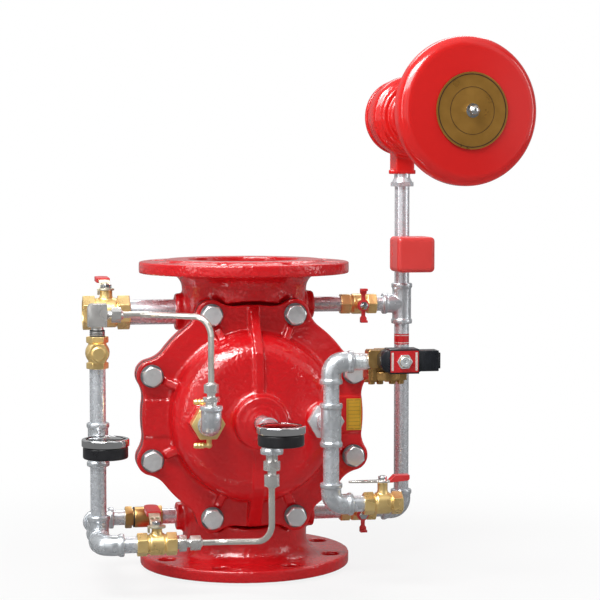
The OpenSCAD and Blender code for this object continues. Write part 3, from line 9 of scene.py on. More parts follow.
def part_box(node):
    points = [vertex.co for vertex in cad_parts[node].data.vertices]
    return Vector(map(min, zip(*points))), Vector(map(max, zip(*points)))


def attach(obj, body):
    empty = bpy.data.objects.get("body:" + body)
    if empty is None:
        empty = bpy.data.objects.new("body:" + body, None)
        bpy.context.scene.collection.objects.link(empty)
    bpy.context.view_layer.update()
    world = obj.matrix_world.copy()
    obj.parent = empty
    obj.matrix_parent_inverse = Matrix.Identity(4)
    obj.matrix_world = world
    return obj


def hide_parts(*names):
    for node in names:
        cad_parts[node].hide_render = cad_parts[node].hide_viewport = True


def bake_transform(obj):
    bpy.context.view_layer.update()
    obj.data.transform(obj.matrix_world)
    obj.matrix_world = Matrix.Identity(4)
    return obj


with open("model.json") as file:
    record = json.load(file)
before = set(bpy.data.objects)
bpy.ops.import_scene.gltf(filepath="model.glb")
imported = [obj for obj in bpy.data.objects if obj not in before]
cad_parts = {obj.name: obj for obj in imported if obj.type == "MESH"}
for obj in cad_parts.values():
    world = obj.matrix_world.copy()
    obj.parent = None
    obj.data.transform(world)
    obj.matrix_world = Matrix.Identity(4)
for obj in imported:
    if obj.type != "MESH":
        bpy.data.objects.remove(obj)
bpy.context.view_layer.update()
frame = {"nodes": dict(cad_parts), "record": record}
print("frame loaded:", len(frame["nodes"]), "nodes")

# Camera and studio

camera = {
    "place": (-0.3471, -2.4071, 0.5186),
    "pitch": 86.31,
    "yaw": -10.0,
    "lens": 107.45,
    "sensor": 36.0,
}


def linkObject(name, data):
    obj = bpy.data.objects.new(name, data)
    bpy.context.scene.collection.objects.link(obj)
    return obj


def makeCamera():
    data = bpy.data.cameras.new("photoCamera")
    data.lens = camera["lens"]
    data.sensor_width = camera["sensor"]
    data.sensor_fit = "HORIZONTAL"
    data.clip_end = 20
    cam = linkObject("photoCamera", data)
    cam.location = camera["place"]
    cam.rotation_euler = (math.radians(camera["pitch"]), 0, math.radians(camera["yaw"]))
    bpy.context.scene.camera = cam


def addLink(tree, source, target):
    tree.links.new(source, target)


def addNode(tree, kind, **settings):
    node = tree.nodes.new(kind)
    for key, value in settings.items():
        if key in node.inputs:
            node.inputs[key].default_value = value
        else:
            setattr(node, key, value)
    return node


lamps = {
    "top": {"place": (-0.75, -0.95, 1.95), "aim": (0.0, 0, 0.3), "size": (1.15, 0.6), "watts": 34},
    "left": {"place": (-2.1, -0.9, 1.0), "aim": (0, 0, 0.3), "size": (0.45, 1.5), "watts": 9},
    "right": {"place": (2.0, -0.7, 0.9), "aim": (0.1, 0, 0.3), "size": (0.35, 1.3), "watts": 7},
    "back": {"place": (0.4, 1.7, 2.0), "aim": (0.1, 0, 0.3), "size": (1.8, 0.8), "watts": 20},
    "sheen": {
        "place": (-0.95, -0.95, 1.75), "aim": (0, 0, 0.25), "size": (1.7, 1.1), "watts": 60,
        "glossyOnly": True,
    },
}
room = {
    "ambient": 0.36, "frontDark": 0.12, "skyBright": 0.75, "backBright": 0.42,
    "backFade": (-0.05, 0.55), "skyFade": (0.45, 0.95), "facingFade": (0.1, 0.3), "leastDepth": 0.05,
    "windowEdge": 0.06,
}
windows = {
    "left": {"middle": -0.82, "half": 0.70, "bright": 1.0},
    "right": {"middle": 1.40, "half": 0.70, "bright": 0.8},
}
paper = {
    "size": 10.0, "height": -0.0004, "tone": 0.66,
    "near": 0.85, "fadeStart": 0.28, "fadeEnd": 0.8, "glossy": 0.22,
}


def makeLamps():
    for name, lamp in lamps.items():
        data = bpy.data.lights.new(name + "Lamp", "AREA")
        data.shape = "RECTANGLE"
        data.size, data.size_y = lamp["size"]
        data.energy = lamp["watts"]
        obj = linkObject(name + "Lamp", data)
        obj.location = lamp["place"]
        aim = Vector(lamp["aim"]) - Vector(lamp["place"])
        obj.rotation_euler = aim.to_track_quat("-Z", "Y").to_euler()
        obj.visible_diffuse = not lamp.get("glossyOnly", False)


def addFade(tree, source, start, end, low, high):
    fade = addNode(tree, "ShaderNodeMapRange", interpolation_type="SMOOTHSTEP")
    fade.inputs["From Min"].default_value = start
    fade.inputs["From Max"].default_value = end
    fade.inputs["To Min"].default_value = low
    fade.inputs["To Max"].default_value = high
    addLink(tree, source, fade.inputs["Value"])
    return fade.outputs[0]


def addMath(tree, operation, first, second):
    node = addNode(tree, "ShaderNodeMath", operation=operation)
    for socket, value in zip(node.inputs, (first, second)):
        if isinstance(value, float):
            socket.default_value = value
        else:
            addLink(tree, value, socket)
    return node.outputs[0]


def mixValue(tree, share, low, high):
    node = addNode(tree, "ShaderNodeMix", data_type="FLOAT")
    for socket, value in ((node.inputs[0], share), (node.inputs[2], low), (node.inputs[3], high)):
        if isinstance(value, float):
            socket.default_value = value
        else:
            addLink(tree, value, socket)
    return node.outputs[0]


# the camera sees a white backdrop; reflections see a room that is dark in front, bright above and behind
def makeWorld():
    world = bpy.data.worlds.new("studioWorld")
    bpy.context.scene.world = world
    world.use_nodes = True
    tree = world.node_tree
    tree.nodes.clear()
    rays = addNode(tree, "ShaderNodeLightPath")
    coords = addNode(tree, "ShaderNodeTexCoord")
    split = addNode(tree, "ShaderNodeSeparateXYZ")
    addLink(tree, coords.outputs["Generated"], split.inputs[0])
    behind = addFade(tree, split.outputs["Y"], *room["backFade"], room["frontDark"], room["backBright"])
    above = addFade(tree, split.outputs["Z"], *room["skyFade"], 0.0, room["skyBright"])
    light = addMath(tree, "MAXIMUM", behind, above)
    # tall windows beside the camera, which only reflections see
    depth = addMath(tree, "MULTIPLY", split.outputs["Y"], -1.0)
    slant = addMath(tree, "DIVIDE", split.outputs["X"], addMath(tree, "MAXIMUM", depth, room["leastDepth"]))
    facing = addFade(tree, depth, *room["facingFade"], 0.0, 1.0)
    edge = room["windowEdge"]
    for window in windows.values():
        start, end = window["middle"] - window["half"], window["middle"] + window["half"]
        rise = addFade(tree, slant, start - edge, start + edge, 0.0, window["bright"])
        fall = addFade(tree, slant, end - edge, end + edge, 0.0, window["bright"])
        pane = addMath(tree, "MULTIPLY", addMath(tree, "SUBTRACT", rise, fall), facing)
        light = addMath(tree, "MAXIMUM", light, pane)
    reflected = addMath(tree, "MAXIMUM", rays.outputs["Is Glossy Ray"], rays.outputs["Is Transmission Ray"])
    level = mixValue(tree, reflected, room["ambient"], light)
    seen = mixValue(tree, rays.outputs["Is Camera Ray"], level, 1.0)
    back = addNode(tree, "ShaderNodeBackground")
    back.inputs["Color"].default_value = (1, 1, 1, 1)
    addLink(tree, seen, back.inputs["Strength"])
    out = addNode(tree, "ShaderNodeOutputWorld")
    addLink(tree, back.outputs[0], out.inputs[0])


# matte paper that shows the shadow near the object and fades to the white backdrop further out
def makeFloor():
    half, height = paper["size"] / 2, paper["height"]
    mesh = bpy.data.meshes.new("floor")
    corners = [(-half, -half, height), (half, -half, height), (half, half, height), (-half, half, height)]
    mesh.from_pydata(corners, [], [(0, 1, 2, 3)])
    floor = linkObject("floor", mesh)
    material = bpy.data.materials.new("floorPaper")
    material.use_nodes = True
    tree = material.node_tree
    tree.nodes.clear()
    rays = addNode(tree, "ShaderNodeLightPath")
    coords = addNode(tree, "ShaderNodeTexCoord")
    reach = addNode(tree, "ShaderNodeVectorMath", operation="LENGTH")
    addLink(tree, coords.outputs["Object"], reach.inputs[0])
    spread = addFade(tree, reach.outputs["Value"], paper["fadeStart"], paper["fadeEnd"], paper["near"], 1.0)
    seenShare = addMath(tree, "MULTIPLY", rays.outputs["Is Camera Ray"], spread)
    share = addMath(tree, "MAXIMUM", seenShare, rays.outputs["Is Glossy Ray"])
    matte = addNode(tree, "ShaderNodeBsdfDiffuse")
    matte.inputs["Color"].default_value = (paper["tone"], paper["tone"], paper["tone"], 1)
    glow = addNode(tree, "ShaderNodeEmission")
    strength = mixValue(tree, rays.outputs["Is Glossy Ray"], 1.0, paper["glossy"])
    addLink(tree, strength, glow.inputs["Strength"])
    mix = addNode(tree, "ShaderNodeMixShader")
    addLink(tree, share, mix.inputs[0])
    addLink(tree, matte.outputs[0], mix.inputs[1])
    addLink(tree, glow.outputs[0], mix.inputs[2])
    out = addNode(tree, "ShaderNodeOutputMaterial")
    addLink(tree, mix.outputs[0], out.inputs[0])
    mesh.materials.append(material)


makeCamera()
makeLamps()
makeWorld()
makeFloor()
bpy.context.scene.view_settings.view_transform = "Standard"
print("studio ready")

# Effects that several finishes share


def newGroup(name, inputs, outputs):
    tree = bpy.data.node_groups.new(name, "ShaderNodeTree")
    for label, kind, value in inputs:
        entry = tree.interface.new_socket(name=label, in_out="INPUT", socket_type=kind)
        if kind != "NodeSocketVector":
            entry.default_value = value
    for label, kind in outputs:
        tree.interface.new_socket(name=label, in_out="OUTPUT", socket_type=kind)
    return tree, addNode(tree, "NodeGroupInput"), addNode(tree, "NodeGroupOutput")


number, vector = "NodeSocketFloat", "NodeSocketVector"


# sprayed paint: a pebbled height and a slow drift of tone
def buildSprayGroup():
    tree, start, end = newGroup(
        "sprayedCoat",
        [("Vector", vector, None), ("Pebble Scale", number, 420.0), ("Drift Scale", number, 14.0)],
        [("Height", number), ("Drift", number)],
    )
    pebble = addNode(tree, "ShaderNodeTexNoise", Detail=1.5, Roughness=0.4)
    addLink(tree, start.outputs["Vector"], pebble.inputs["Vector"])
    addLink(tree, start.outputs["Pebble Scale"], pebble.inputs["Scale"])
    drift = addNode(tree, "ShaderNodeTexNoise", Detail=3.0, Roughness=0.55)
    addLink(tree, start.outputs["Vector"], drift.inputs["Vector"])
    addLink(tree, start.outputs["Drift Scale"], drift.inputs["Scale"])
    addLink(tree, pebble.outputs[0], end.inputs["Height"])
    addLink(tree, drift.outputs[0], end.inputs["Drift"])
    return tree


crystalWarp = 0.004


# hot-dip zinc: flat crystals of slightly different tone, with a faint lumpiness
def buildSpangleGroup():
    tree, start, end = newGroup(
        "zincSpangle",
        [("Vector", vector, None), ("Crystal Scale", number, 260.0), ("Lump Scale", number, 90.0)],
        [("Tone", number), ("Height", number)],
    )
    crystal = addNode(tree, "ShaderNodeTexVoronoi", feature="SMOOTH_F1", Smoothness=0.35)
    warp = addNode(tree, "ShaderNodeTexNoise", Scale=60.0, Detail=2.0)
    push = addNode(tree, "ShaderNodeVectorMath", operation="MULTIPLY_ADD")
    push.inputs[1].default_value = (crystalWarp, crystalWarp, crystalWarp)
    addLink(tree, start.outputs["Vector"], warp.inputs["Vector"])
    addLink(tree, warp.outputs["Color"], push.inputs[0])
    addLink(tree, start.outputs["Vector"], push.inputs[2])
    addLink(tree, push.outputs[0], crystal.inputs["Vector"])
    addLink(tree, start.outputs["Crystal Scale"], crystal.inputs["Scale"])
    tone = addNode(tree, "ShaderNodeSeparateColor")
    addLink(tree, crystal.outputs["Color"], tone.inputs[0])
    lump = addNode(tree, "ShaderNodeTexNoise", Detail=3.0, Roughness=0.5)
    addLink(tree, start.outputs["Vector"], lump.inputs["Vector"])
    addLink(tree, start.outputs["Lump Scale"], lump.inputs["Scale"])
    addLink(tree, tone.outputs[0], end.inputs["Tone"])
    addLink(tree, lump.outputs[0], end.inputs["Height"])
    return tree


# drawn or turned metal: noise pulled out along one direction by the stretch
def buildGrainGroup():
    tree, start, end = newGroup(
        "metalGrain",
        [("Vector", vector, None), ("Stretch", vector, None), ("Grain Scale", number, 300.0)],
        [("Grain", number), ("Cloud", number)],
    )
    pull = addNode(tree, "ShaderNodeVectorMath", operation="MULTIPLY")
    addLink(tree, start.outputs["Vector"], pull.inputs[0])
    addLink(tree, start.outputs["Stretch"], pull.inputs[1])
    grain = addNode(tree, "ShaderNodeTexNoise", Detail=4.0, Roughness=0.65)
    addLink(tree, pull.outputs[0], grain.inputs["Vector"])
    addLink(tree, start.outputs["Grain Scale"], grain.inputs["Scale"])
    cloud = addNode(tree, "ShaderNodeTexNoise", Scale=45.0, Detail=3.0)
    addLink(tree, start.outputs["Vector"], cloud.inputs["Vector"])
    addLink(tree, grain.outputs[0], end.inputs["Grain"])
    addLink(tree, cloud.outputs[0], end.inputs["Cloud"])
    return tree


effects = {"spray": buildSprayGroup(), "spangle": buildSpangleGroup(), "grain": buildGrainGroup()}


def startMaterial(name, spec):
    material = bpy.data.materials.new(name)
    material.use_nodes = True
    tree = material.node_tree
    shader = tree.nodes["Principled BSDF"]
    for key, value in spec.get("plain", {}).items():
        shader.inputs[key].default_value = value
    coords = addNode(tree, "ShaderNodeTexCoord")
    return material, tree, shader, coords


# a colour and a roughness that each run between two values, and one bump
def wireSurface(tree, shader, spec, mask, height):
    blend = addNode(tree, "ShaderNodeMix", data_type="RGBA")
    low, high = spec["colors"]
    blend.inputs[6].default_value = (*low, 1)
    blend.inputs[7].default_value = (*high, 1)
    sharpen = addNode(tree, "ShaderNodeMapRange")
    low, high = spec.get("contrast", (0.3, 0.7))
    sharpen.inputs["From Min"].default_value = low
    sharpen.inputs["From Max"].default_value = high
    addLink(tree, mask, sharpen.inputs["Value"])
    addLink(tree, sharpen.outputs[0], blend.inputs[0])
    addLink(tree, blend.outputs[2], shader.inputs["Base Color"])
    rough = addNode(tree, "ShaderNodeMapRange")
    rough.inputs["To Min"].default_value = spec["roughness"][0]
    rough.inputs["To Max"].default_value = spec["roughness"][1]
    addLink(tree, sharpen.outputs[0], rough.inputs["Value"])
    addLink(tree, rough.outputs[0], shader.inputs["Roughness"])
    bump = addNode(tree, "ShaderNodeBump", Strength=spec["bump"][0], Distance=spec["bump"][1])
    addLink(tree, height, bump.inputs["Height"])
    addLink(tree, bump.outputs[0], shader.inputs["Normal"])


def sprayedPaint(name, spec):
    material, tree, shader, coords = startMaterial(name, spec)
    group = addNode(tree, "ShaderNodeGroup", node_tree=effects["spray"])
    group.inputs["Pebble Scale"].default_value = spec["pebble"]
    group.inputs["Drift Scale"].default_value = spec["drift"]
    addLink(tree, coords.outputs["Object"], group.inputs["Vector"])
    wireSurface(tree, shader, spec, group.outputs["Drift"], group.outputs["Height"])
    return material


def zincCoat(name, spec):
    material, tree, shader, coords = startMaterial(name, spec)
    group = addNode(tree, "ShaderNodeGroup", node_tree=effects["spangle"])
    group.inputs["Crystal Scale"].default_value = spec["crystal"]
    group.inputs["Lump Scale"].default_value = spec["lump"]
    addLink(tree, coords.outputs["Object"], group.inputs["Vector"])
    wireSurface(tree, shader, spec, group.outputs["Tone"], group.outputs["Height"])
    return material


def grainedMetal(name, spec):
    material, tree, shader, coords = startMaterial(name, spec)
    group = addNode(tree, "ShaderNodeGroup", node_tree=effects["grain"])
    group.inputs["Stretch"].default_value = spec["stretch"]
    group.inputs["Grain Scale"].default_value = spec["grain"]
    addLink(tree, coords.outputs["Object"], group.inputs["Vector"])
    wireSurface(tree, shader, spec, group.outputs["Cloud"], group.outputs["Grain"])
    return material


finishes = {
    "castRed": (sprayedPaint, {
        "colors": ((0.62, 0.008, 0.012), (0.67, 0.010, 0.014)),
        "roughness": (0.15, 0.19), "bump": (0.60, 0.0014),
        "pebble": 190.0, "drift": 9.0, "plain": {"Specular IOR Level": 0.62},
    }),
    "gongRed": (sprayedPaint, {
        "colors": ((0.70, 0.013, 0.012), (0.75, 0.016, 0.014)),
        "roughness": (0.13, 0.17), "bump": (0.04, 0.0005),
        "pebble": 220.0, "drift": 7.0, "plain": {"Specular IOR Level": 0.6},
    }),
    "switchRed": (sprayedPaint, {
        "colors": ((0.68, 0.045, 0.040), (0.74, 0.055, 0.050)),
        "roughness": (0.30, 0.38), "bump": (0.10, 0.0004),
        "pebble": 500.0, "drift": 12.0, "plain": {"Specular IOR Level": 0.5},
    }),
    "zincPipe": (zincCoat, {
        "colors": ((0.67, 0.70, 0.74), (0.76, 0.79, 0.83)),
        "roughness": (0.25, 0.29), "bump": (0.03, 0.0003),
        "crystal": 230.0, "lump": 200.0, "contrast": (0.0, 1.0), "plain": {"Metallic": 0.6},
    }),
    "zincCast": (zincCoat, {
        "colors": ((0.56, 0.59, 0.62), (0.68, 0.71, 0.74)),
        "roughness": (0.24, 0.28), "bump": (0.10, 0.0004),
        "crystal": 210.0, "lump": 220.0, "contrast": (0.0, 1.0), "plain": {"Metallic": 0.62},
    }),
    "boltZinc": (zincCoat, {
        "colors": ((0.74, 0.77, 0.78), (0.83, 0.86, 0.87)),
        "roughness": (0.20, 0.27), "bump": (0.06, 0.0003),
        "crystal": 240.0, "lump": 300.0, "contrast": (0.0, 1.0), "plain": {"Metallic": 0.55},
    }),
    # painted shade: the washers' zinc is far darker than the heads' zinc, standing in for the gap shadow
    # under each bolt head
    "washerPaintedShade": (zincCoat, {
        "colors": ((0.16, 0.17, 0.18), (0.22, 0.23, 0.24)),
        "roughness": (0.32, 0.40), "bump": (0.06, 0.0003),
        "crystal": 240.0, "lump": 300.0, "contrast": (0.0, 1.0), "plain": {"Metallic": 0.7},
    }),
    "tubeSteel": (grainedMetal, {
        "colors": ((0.78, 0.74, 0.68), (0.86, 0.82, 0.76)),
        "roughness": (0.15, 0.21), "bump": (0.03, 0.0002),
        "stretch": (1, 1, 1), "grain": 900.0, "plain": {"Metallic": 0.78},
    }),
    "brushedSteel": (grainedMetal, {
        "colors": ((0.66, 0.65, 0.63), (0.76, 0.75, 0.73)),
        "roughness": (0.22, 0.30), "bump": (0.22, 0.0003),
        "stretch": (1, 1, 0.04), "grain": 900.0, "plain": {"Metallic": 0.75},
    }),
    "chromed": (grainedMetal, {
        "colors": ((0.70, 0.71, 0.72), (0.78, 0.79, 0.80)),
        "roughness": (0.05, 0.09), "bump": (0.02, 0.0002),
        "stretch": (1, 1, 1), "grain": 500.0, "plain": {"Metallic": 1.0},
    }),
    "forgedBrass": (grainedMetal, {
        "colors": ((0.78, 0.54, 0.21), (0.93, 0.70, 0.31)),
        "roughness": (0.24, 0.36), "bump": (0.14, 0.0004),
        "stretch": (1, 1, 1), "grain": 420.0, "plain": {"Metallic": 0.68},
    }),
    "darkBrass": (grainedMetal, {
        "colors": ((0.46, 0.26, 0.09), (0.64, 0.40, 0.15)),
        "roughness": (0.26, 0.38), "bump": (0.16, 0.0004),
        "stretch": (1, 1, 1), "grain": 420.0, "plain": {"Metallic": 0.9},
    }),
    "blackRubber": (sprayedPaint, {
        "colors": ((0.010, 0.010, 0.011), (0.022, 0.022, 0.024)),
        "roughness": (0.55, 0.75), "bump": (0.2, 0.0003),
        "pebble": 900.0, "drift": 60.0,
    }),
    "blackCase": (sprayedPaint, {
        "colors": ((0.010, 0.010, 0.012), (0.020, 0.020, 0.023)),
        "roughness": (0.26, 0.38), "bump": (0.3, 0.0003),
        "pebble": 1100.0, "drift": 40.0, "plain": {"Specular IOR Level": 0.4},
    }),
    "blackMoulding": (sprayedPaint, {
        "colors": ((0.008, 0.010, 0.014), (0.016, 0.019, 0.025)),
        "roughness": (0.26, 0.36), "bump": (0.12, 0.0003),
        "pebble": 1400.0, "drift": 50.0, "plain": {"Specular IOR Level": 0.45},
    }),
    "redVinyl": (sprayedPaint, {
        "colors": ((0.58, 0.018, 0.022), (0.70, 0.036, 0.038)),
        "roughness": (0.30, 0.42), "bump": (0.1, 0.0004),
        "pebble": 600.0, "drift": 70.0, "plain": {"Specular IOR Level": 0.5},
    }),
    "platedLever": (grainedMetal, {
        "colors": ((0.60, 0.55, 0.40), (0.74, 0.69, 0.54)),
        "roughness": (0.30, 0.42), "bump": (0.12, 0.0003),
        "stretch": (1, 0.1, 1), "grain": 500.0, "plain": {"Metallic": 0.8},
    }),
    "goldPlate": (grainedMetal, {
        "colors": ((0.38, 0.19, 0.035), (0.48, 0.25, 0.05)),
        "roughness": (0.26, 0.36), "bump": (0.04, 0.0002),
        "stretch": (1, 1, 1), "grain": 700.0, "plain": {"Metallic": 0.7},
    }),
    "plateMetal": (grainedMetal, {
        "colors": ((0.68, 0.40, 0.030), (0.78, 0.48, 0.045)),
        "roughness": (0.30, 0.42), "bump": (0.08, 0.0002),
        "stretch": (1, 1, 0.1), "grain": 800.0, "plain": {"Metallic": 0.3},
    }),
    "labelRed": (sprayedPaint, {
        "colors": ((0.56, 0.012, 0.018), (0.62, 0.018, 0.022)),
        "roughness": (0.22, 0.30), "bump": (0.02, 0.0002),
        "pebble": 500.0, "drift": 40.0, "plain": {"Specular IOR Level": 0.5},
    }),
    "labelPale": (sprayedPaint, {
        "colors": ((0.68, 0.56, 0.52), (0.78, 0.68, 0.64)),
        "roughness": (0.3, 0.4), "bump": (0.02, 0.0002),
        "pebble": 700.0, "drift": 300.0,
    }),
    "plateInk": (sprayedPaint, {
        "colors": ((0.020, 0.010, 0.004), (0.040, 0.020, 0.008)),
        "roughness": (0.3, 0.4), "bump": (0.02, 0.0002),
        "pebble": 700.0, "drift": 90.0,
    }),
    "paleDial": (sprayedPaint, {
        "colors": ((0.80, 0.79, 0.76), (0.86, 0.85, 0.82)),
        "roughness": (0.45, 0.55), "bump": (0.02, 0.0002),
        "pebble": 800.0, "drift": 40.0,
    }),
}

clearLens = {"tint": (0.97, 0.98, 0.98), "roughness": 0.02, "smear": 0.03, "ior": 1.46}


def makeLensGlass():
    material, tree, shader, coords = startMaterial("clearLens", {"plain": {
        "Base Color": (*clearLens["tint"], 1), "Transmission Weight": 1.0, "IOR": clearLens["ior"],
    }})
    smear = addNode(tree, "ShaderNodeTexNoise", Scale=30.0, Detail=2.0)
    addLink(tree, coords.outputs["Object"], smear.inputs["Vector"])
    haze = addNode(tree, "ShaderNodeMapRange")
    haze.inputs["To Min"].default_value = clearLens["roughness"]
    haze.inputs["To Max"].default_value = clearLens["roughness"] + clearLens["smear"]
    addLink(tree, smear.outputs[0], haze.inputs["Value"])
    addLink(tree, haze.outputs[0], shader.inputs["Roughness"])
    return material


materials = {name: build(name, spec) for name, (build, spec) in finishes.items()}
materials["clearLens"] = makeLensGlass()
print("finishes ready:", len(materials))

nodeFinish = {
    "castRed": ["valve_body", "cover"],
    "switchRed": ["pressure_switch_base", "pressure_switch_cover"],
    "gongRed": ["motor_housing", "gong"],
    "zincPipe": ["left_pipes", "right_pipes", "riser_pipes"],
    "zincCast": ["elbows", "tees"],
    "boltZinc": ["cover_bolts", "cover_bushings", "solenoid_nut"],
    "tubeSteel": ["steel_tubes", "disc_clamp", "closing_spring", "inline_check_spring", "solenoid_spring",
                  "solenoid_plunger", "anti_reset_plunger"],
    "brushedSteel": ["square_elbow", "tube_fittings"],
    "chromed": ["gauge_bezels", "gong_tie_rod", "drain_ball_stem", "supply_ball_stem", "release_ball_stem"],
    "forgedBrass": ["drain_valve_body", "supply_valve_body", "release_valve_body", "test_valve_bodies",
                    "swing_check_body", "swing_check_cap", "swing_check_flapper", "inline_check_poppet",
                    "anti_reset_body", "gauge_stems", "seat_ring", "valve_disc", "motor_rotor"],
    "darkBrass": ["inline_check_body", "solenoid_body"],
    "blackRubber": ["diaphragm", "disc_seal"],
    "blackCase": ["gauge_cases", "left_gauge_pointer", "hub_gauge_pointer"],
    "blackMoulding": ["solenoid_coil", "solenoid_connector"],
    "redVinyl": ["drain_grip", "supply_grip", "release_handle", "upper_test_handle", "lower_test_handle"],
    "platedLever": ["drain_lever", "supply_lever"],
    "goldPlate": ["gong_plate"],
    "plateMetal": ["nameplate"],
    "clearLens": ["gauge_lenses"],
}
finishOf = {name: finish for finish, names in nodeFinish.items() for name in names}
bodyOf = {name: body for body, names in frame["record"]["behaviour"]["bodies"].items() for name in names}


def dress(obj, finish):
    obj.data.materials.clear()
    obj.data.materials.append(materials[finish])


for name, finish in finishOf.items():
    dress(frame["nodes"][name], finish)

gongAxis = {"turn": 8.0, "x": 0.225, "z": 0.611, "rodReach": 0.012}


# the water motor's rear plate is one piece with the tie rod, and is painted like the housing
def paintRearPlate():
    mesh = frame["nodes"]["gong_tie_rod"].data
    mesh.materials.append(materials["gongRed"])
    turn = math.radians(gongAxis["turn"])
    along = Vector((math.sin(turn), -math.cos(turn), 0))
    for face in mesh.polygons:
        arm = face.center - Vector((gongAxis["x"], 0, gongAxis["z"]))
        if (arm - arm.dot(along) * along).length > gongAxis["rodReach"]:
            face.material_index = 1


paintRearPlate()
print("nodes dressed")


def applyModifiers(obj):
    graph = bpy.context.evaluated_depsgraph_get()
    mesh = bpy.data.meshes.new_from_object(obj.evaluated_get(graph))
    obj.modifiers.clear()
    old = obj.data
    obj.data = mesh
    bpy.data.meshes.remove(old)
    return mesh


def addPiece(name, mesh, finish, body="valve"):
    obj = linkObject(name, mesh)
    dress(obj, finish)
    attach(obj, body)
    return obj


# a reworked mesh takes its node's place, with the node's finish and body
def standFor(obj, name):
    dress(obj, finishOf[name])
    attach(obj, bodyOf[name])
    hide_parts(name)


weldReach = 2e-6


# a copy of a node's mesh with its seams welded
def mergedMesh(name):
    mesh = bpy.data.meshes.new(name + "Merged")
    bm = bmesh.new()
    bm.from_mesh(frame["nodes"][name].data)
    bmesh.ops.remove_doubles(bm, verts=bm.verts, dist=weldReach)
    bm.to_mesh(mesh)
    bm.free()
    return mesh


smoothFactor = 0.5


# remeshed at the voxel's size and smoothed for a number of rounds
def softenMesh(obj, voxel, rounds):
    remesh = obj.modifiers.new("remesh", "REMESH")
    remesh.mode = "VOXEL"
    remesh.voxel_size = voxel
    smooth = obj.modifiers.new("smooth", "SMOOTH")
    smooth.factor = smoothFactor
    smooth.iterations = rounds
    return applyModifiers(obj)


# castings and forgings get the soft edges and filled corners of their moulds
softCastings = {
    "valve_body": {"voxel": 0.0020, "rounds": 6, "triangles": 180000},
    "cover": {"voxel": 0.0014, "rounds": 6, "triangles": 150000},
    "motor_housing": {"voxel": 0.0013, "rounds": 5, "triangles": 60000},
    "elbows": {"voxel": 0.0008, "rounds": 5, "triangles": 90000},
    "tees": {"voxel": 0.0008, "rounds": 5, "triangles": 70000},
    "pressure_switch_base": {"voxel": 0.0009, "rounds": 4, "triangles": 12000},
    "pressure_switch_cover": {"voxel": 0.0009, "rounds": 6, "triangles": 14000},
    "drain_valve_body": {"voxel": 0.0007, "rounds": 4, "triangles": 40000},
    "supply_valve_body": {"voxel": 0.0006, "rounds": 4, "triangles": 34000},
    "release_valve_body": {"voxel": 0.0006, "rounds": 4, "triangles": 34000},
    "test_valve_bodies": {"voxel": 0.0006, "rounds": 4, "triangles": 50000},
    "swing_check_body": {"voxel": 0.0006, "rounds": 4, "triangles": 30000},
    "swing_check_cap": {"voxel": 0.0005, "rounds": 3, "triangles": 14000},
    "anti_reset_body": {"voxel": 0.0006, "rounds": 3, "triangles": 24000},
    "solenoid_body": {"voxel": 0.0006, "rounds": 3, "triangles": 40000},
    "drain_grip": {"voxel": 0.0005, "rounds": 6, "triangles": 14000},
    "supply_grip": {"voxel": 0.0005, "rounds": 6, "triangles": 12000},
}


def softenCasting(name, spec):
    obj = linkObject(name + "Cast", mergedMesh(name))
    mesh = softenMesh(obj, spec["voxel"], spec["rounds"])
    mesh.calc_loop_triangles()
    count = len(mesh.loop_triangles)
    if count > spec["triangles"]:
        thin = obj.modifiers.new("thin", "DECIMATE")
        thin.ratio = spec["triangles"] / count
        mesh = applyModifiers(obj)
    mesh.shade_smooth()
    standFor(obj, name)
    print("softened", name, count)


for name, spec in softCastings.items():
    softenCasting(name, spec)

# machined and pressed pieces keep their form and get a fine broken edge
brokenEdges = {
    "cover_bolts": 0.0005, "cover_bushings": 0.0004, "tube_fittings": 0.0003, "square_elbow": 0.0004,
    "solenoid_nut": 0.0004, "inline_check_body": 0.0003, "drain_lever": 0.0003, "supply_lever": 0.0003,
    "solenoid_coil": 0.0006, "solenoid_connector": 0.0004, "gauge_stems": 0.0003, "drain_ball_stem": 0.0003,
    "supply_ball_stem": 0.0003, "release_ball_stem": 0.0003,
    "upper_test_handle": 0.0004, "lower_test_handle": 0.0004,
}
edgeForm = {"flatAngle": 1.5, "bevelAngle": 28, "sharpAngle": 32, "segments": 2}


def breakEdges(name, width):
    mesh = mergedMesh(name)
    bm = bmesh.new()
    bm.from_mesh(mesh)
    flat = math.radians(edgeForm["flatAngle"])
    bmesh.ops.dissolve_limit(bm, angle_limit=flat, verts=bm.verts, edges=bm.edges)
    bm.to_mesh(mesh)
    bm.free()
    obj = linkObject(name + "Edged", mesh)
    bevel = obj.modifiers.new("bevel", "BEVEL")
    bevel.width = width
    bevel.segments = edgeForm["segments"]
    bevel.limit_method = "ANGLE"
    bevel.angle_limit = math.radians(edgeForm["bevelAngle"])
    mesh = applyModifiers(obj)
    mesh.shade_smooth()
    mesh.set_sharp_from_angle(angle=math.radians(edgeForm["sharpAngle"]))
    standFor(obj, name)
    return obj


washerFront = -0.0914


# the washers under the bolts' heads get a far darker zinc than the heads: painted shade for the gap under
# each head
def paintWasherShade(obj):
    obj.data.materials.append(materials["washerPaintedShade"])
    for face in obj.data.polygons:
        face.material_index = 1 if face.center.y > washerFront else 0


handleNut = {"reach": 0.0066, "tipAhead": 0.0066}


# the butterfly handles are red, but their stems and nuts are bare
def paintHandleNut(obj, name):
    low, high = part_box(name)
    middle = (low + high) / 2
    obj.data.materials.append(materials["chromed"])
    for face in obj.data.polygons:
        reach = math.hypot(face.center.x - middle.x, face.center.z - middle.z)
        if reach < handleNut["reach"] and face.center.y < low.y + handleNut["tipAhead"]:
            face.material_index = 1


for name, width in brokenEdges.items():
    obj = breakEdges(name, width)
    if name == "cover_bolts":
        paintWasherShade(obj)
    if name.endswith("test_handle"):
        paintHandleNut(obj, name)
print("edges broken")

# Details that the solids leave out; lengths in metres, in the part's frame

axisTurns = {
    "Z": Matrix.Identity(4),
    "X": Matrix.Rotation(math.pi / 2, 4, "Y"),
    "-Y": Matrix.Rotation(math.pi / 2, 4, "X"),
}


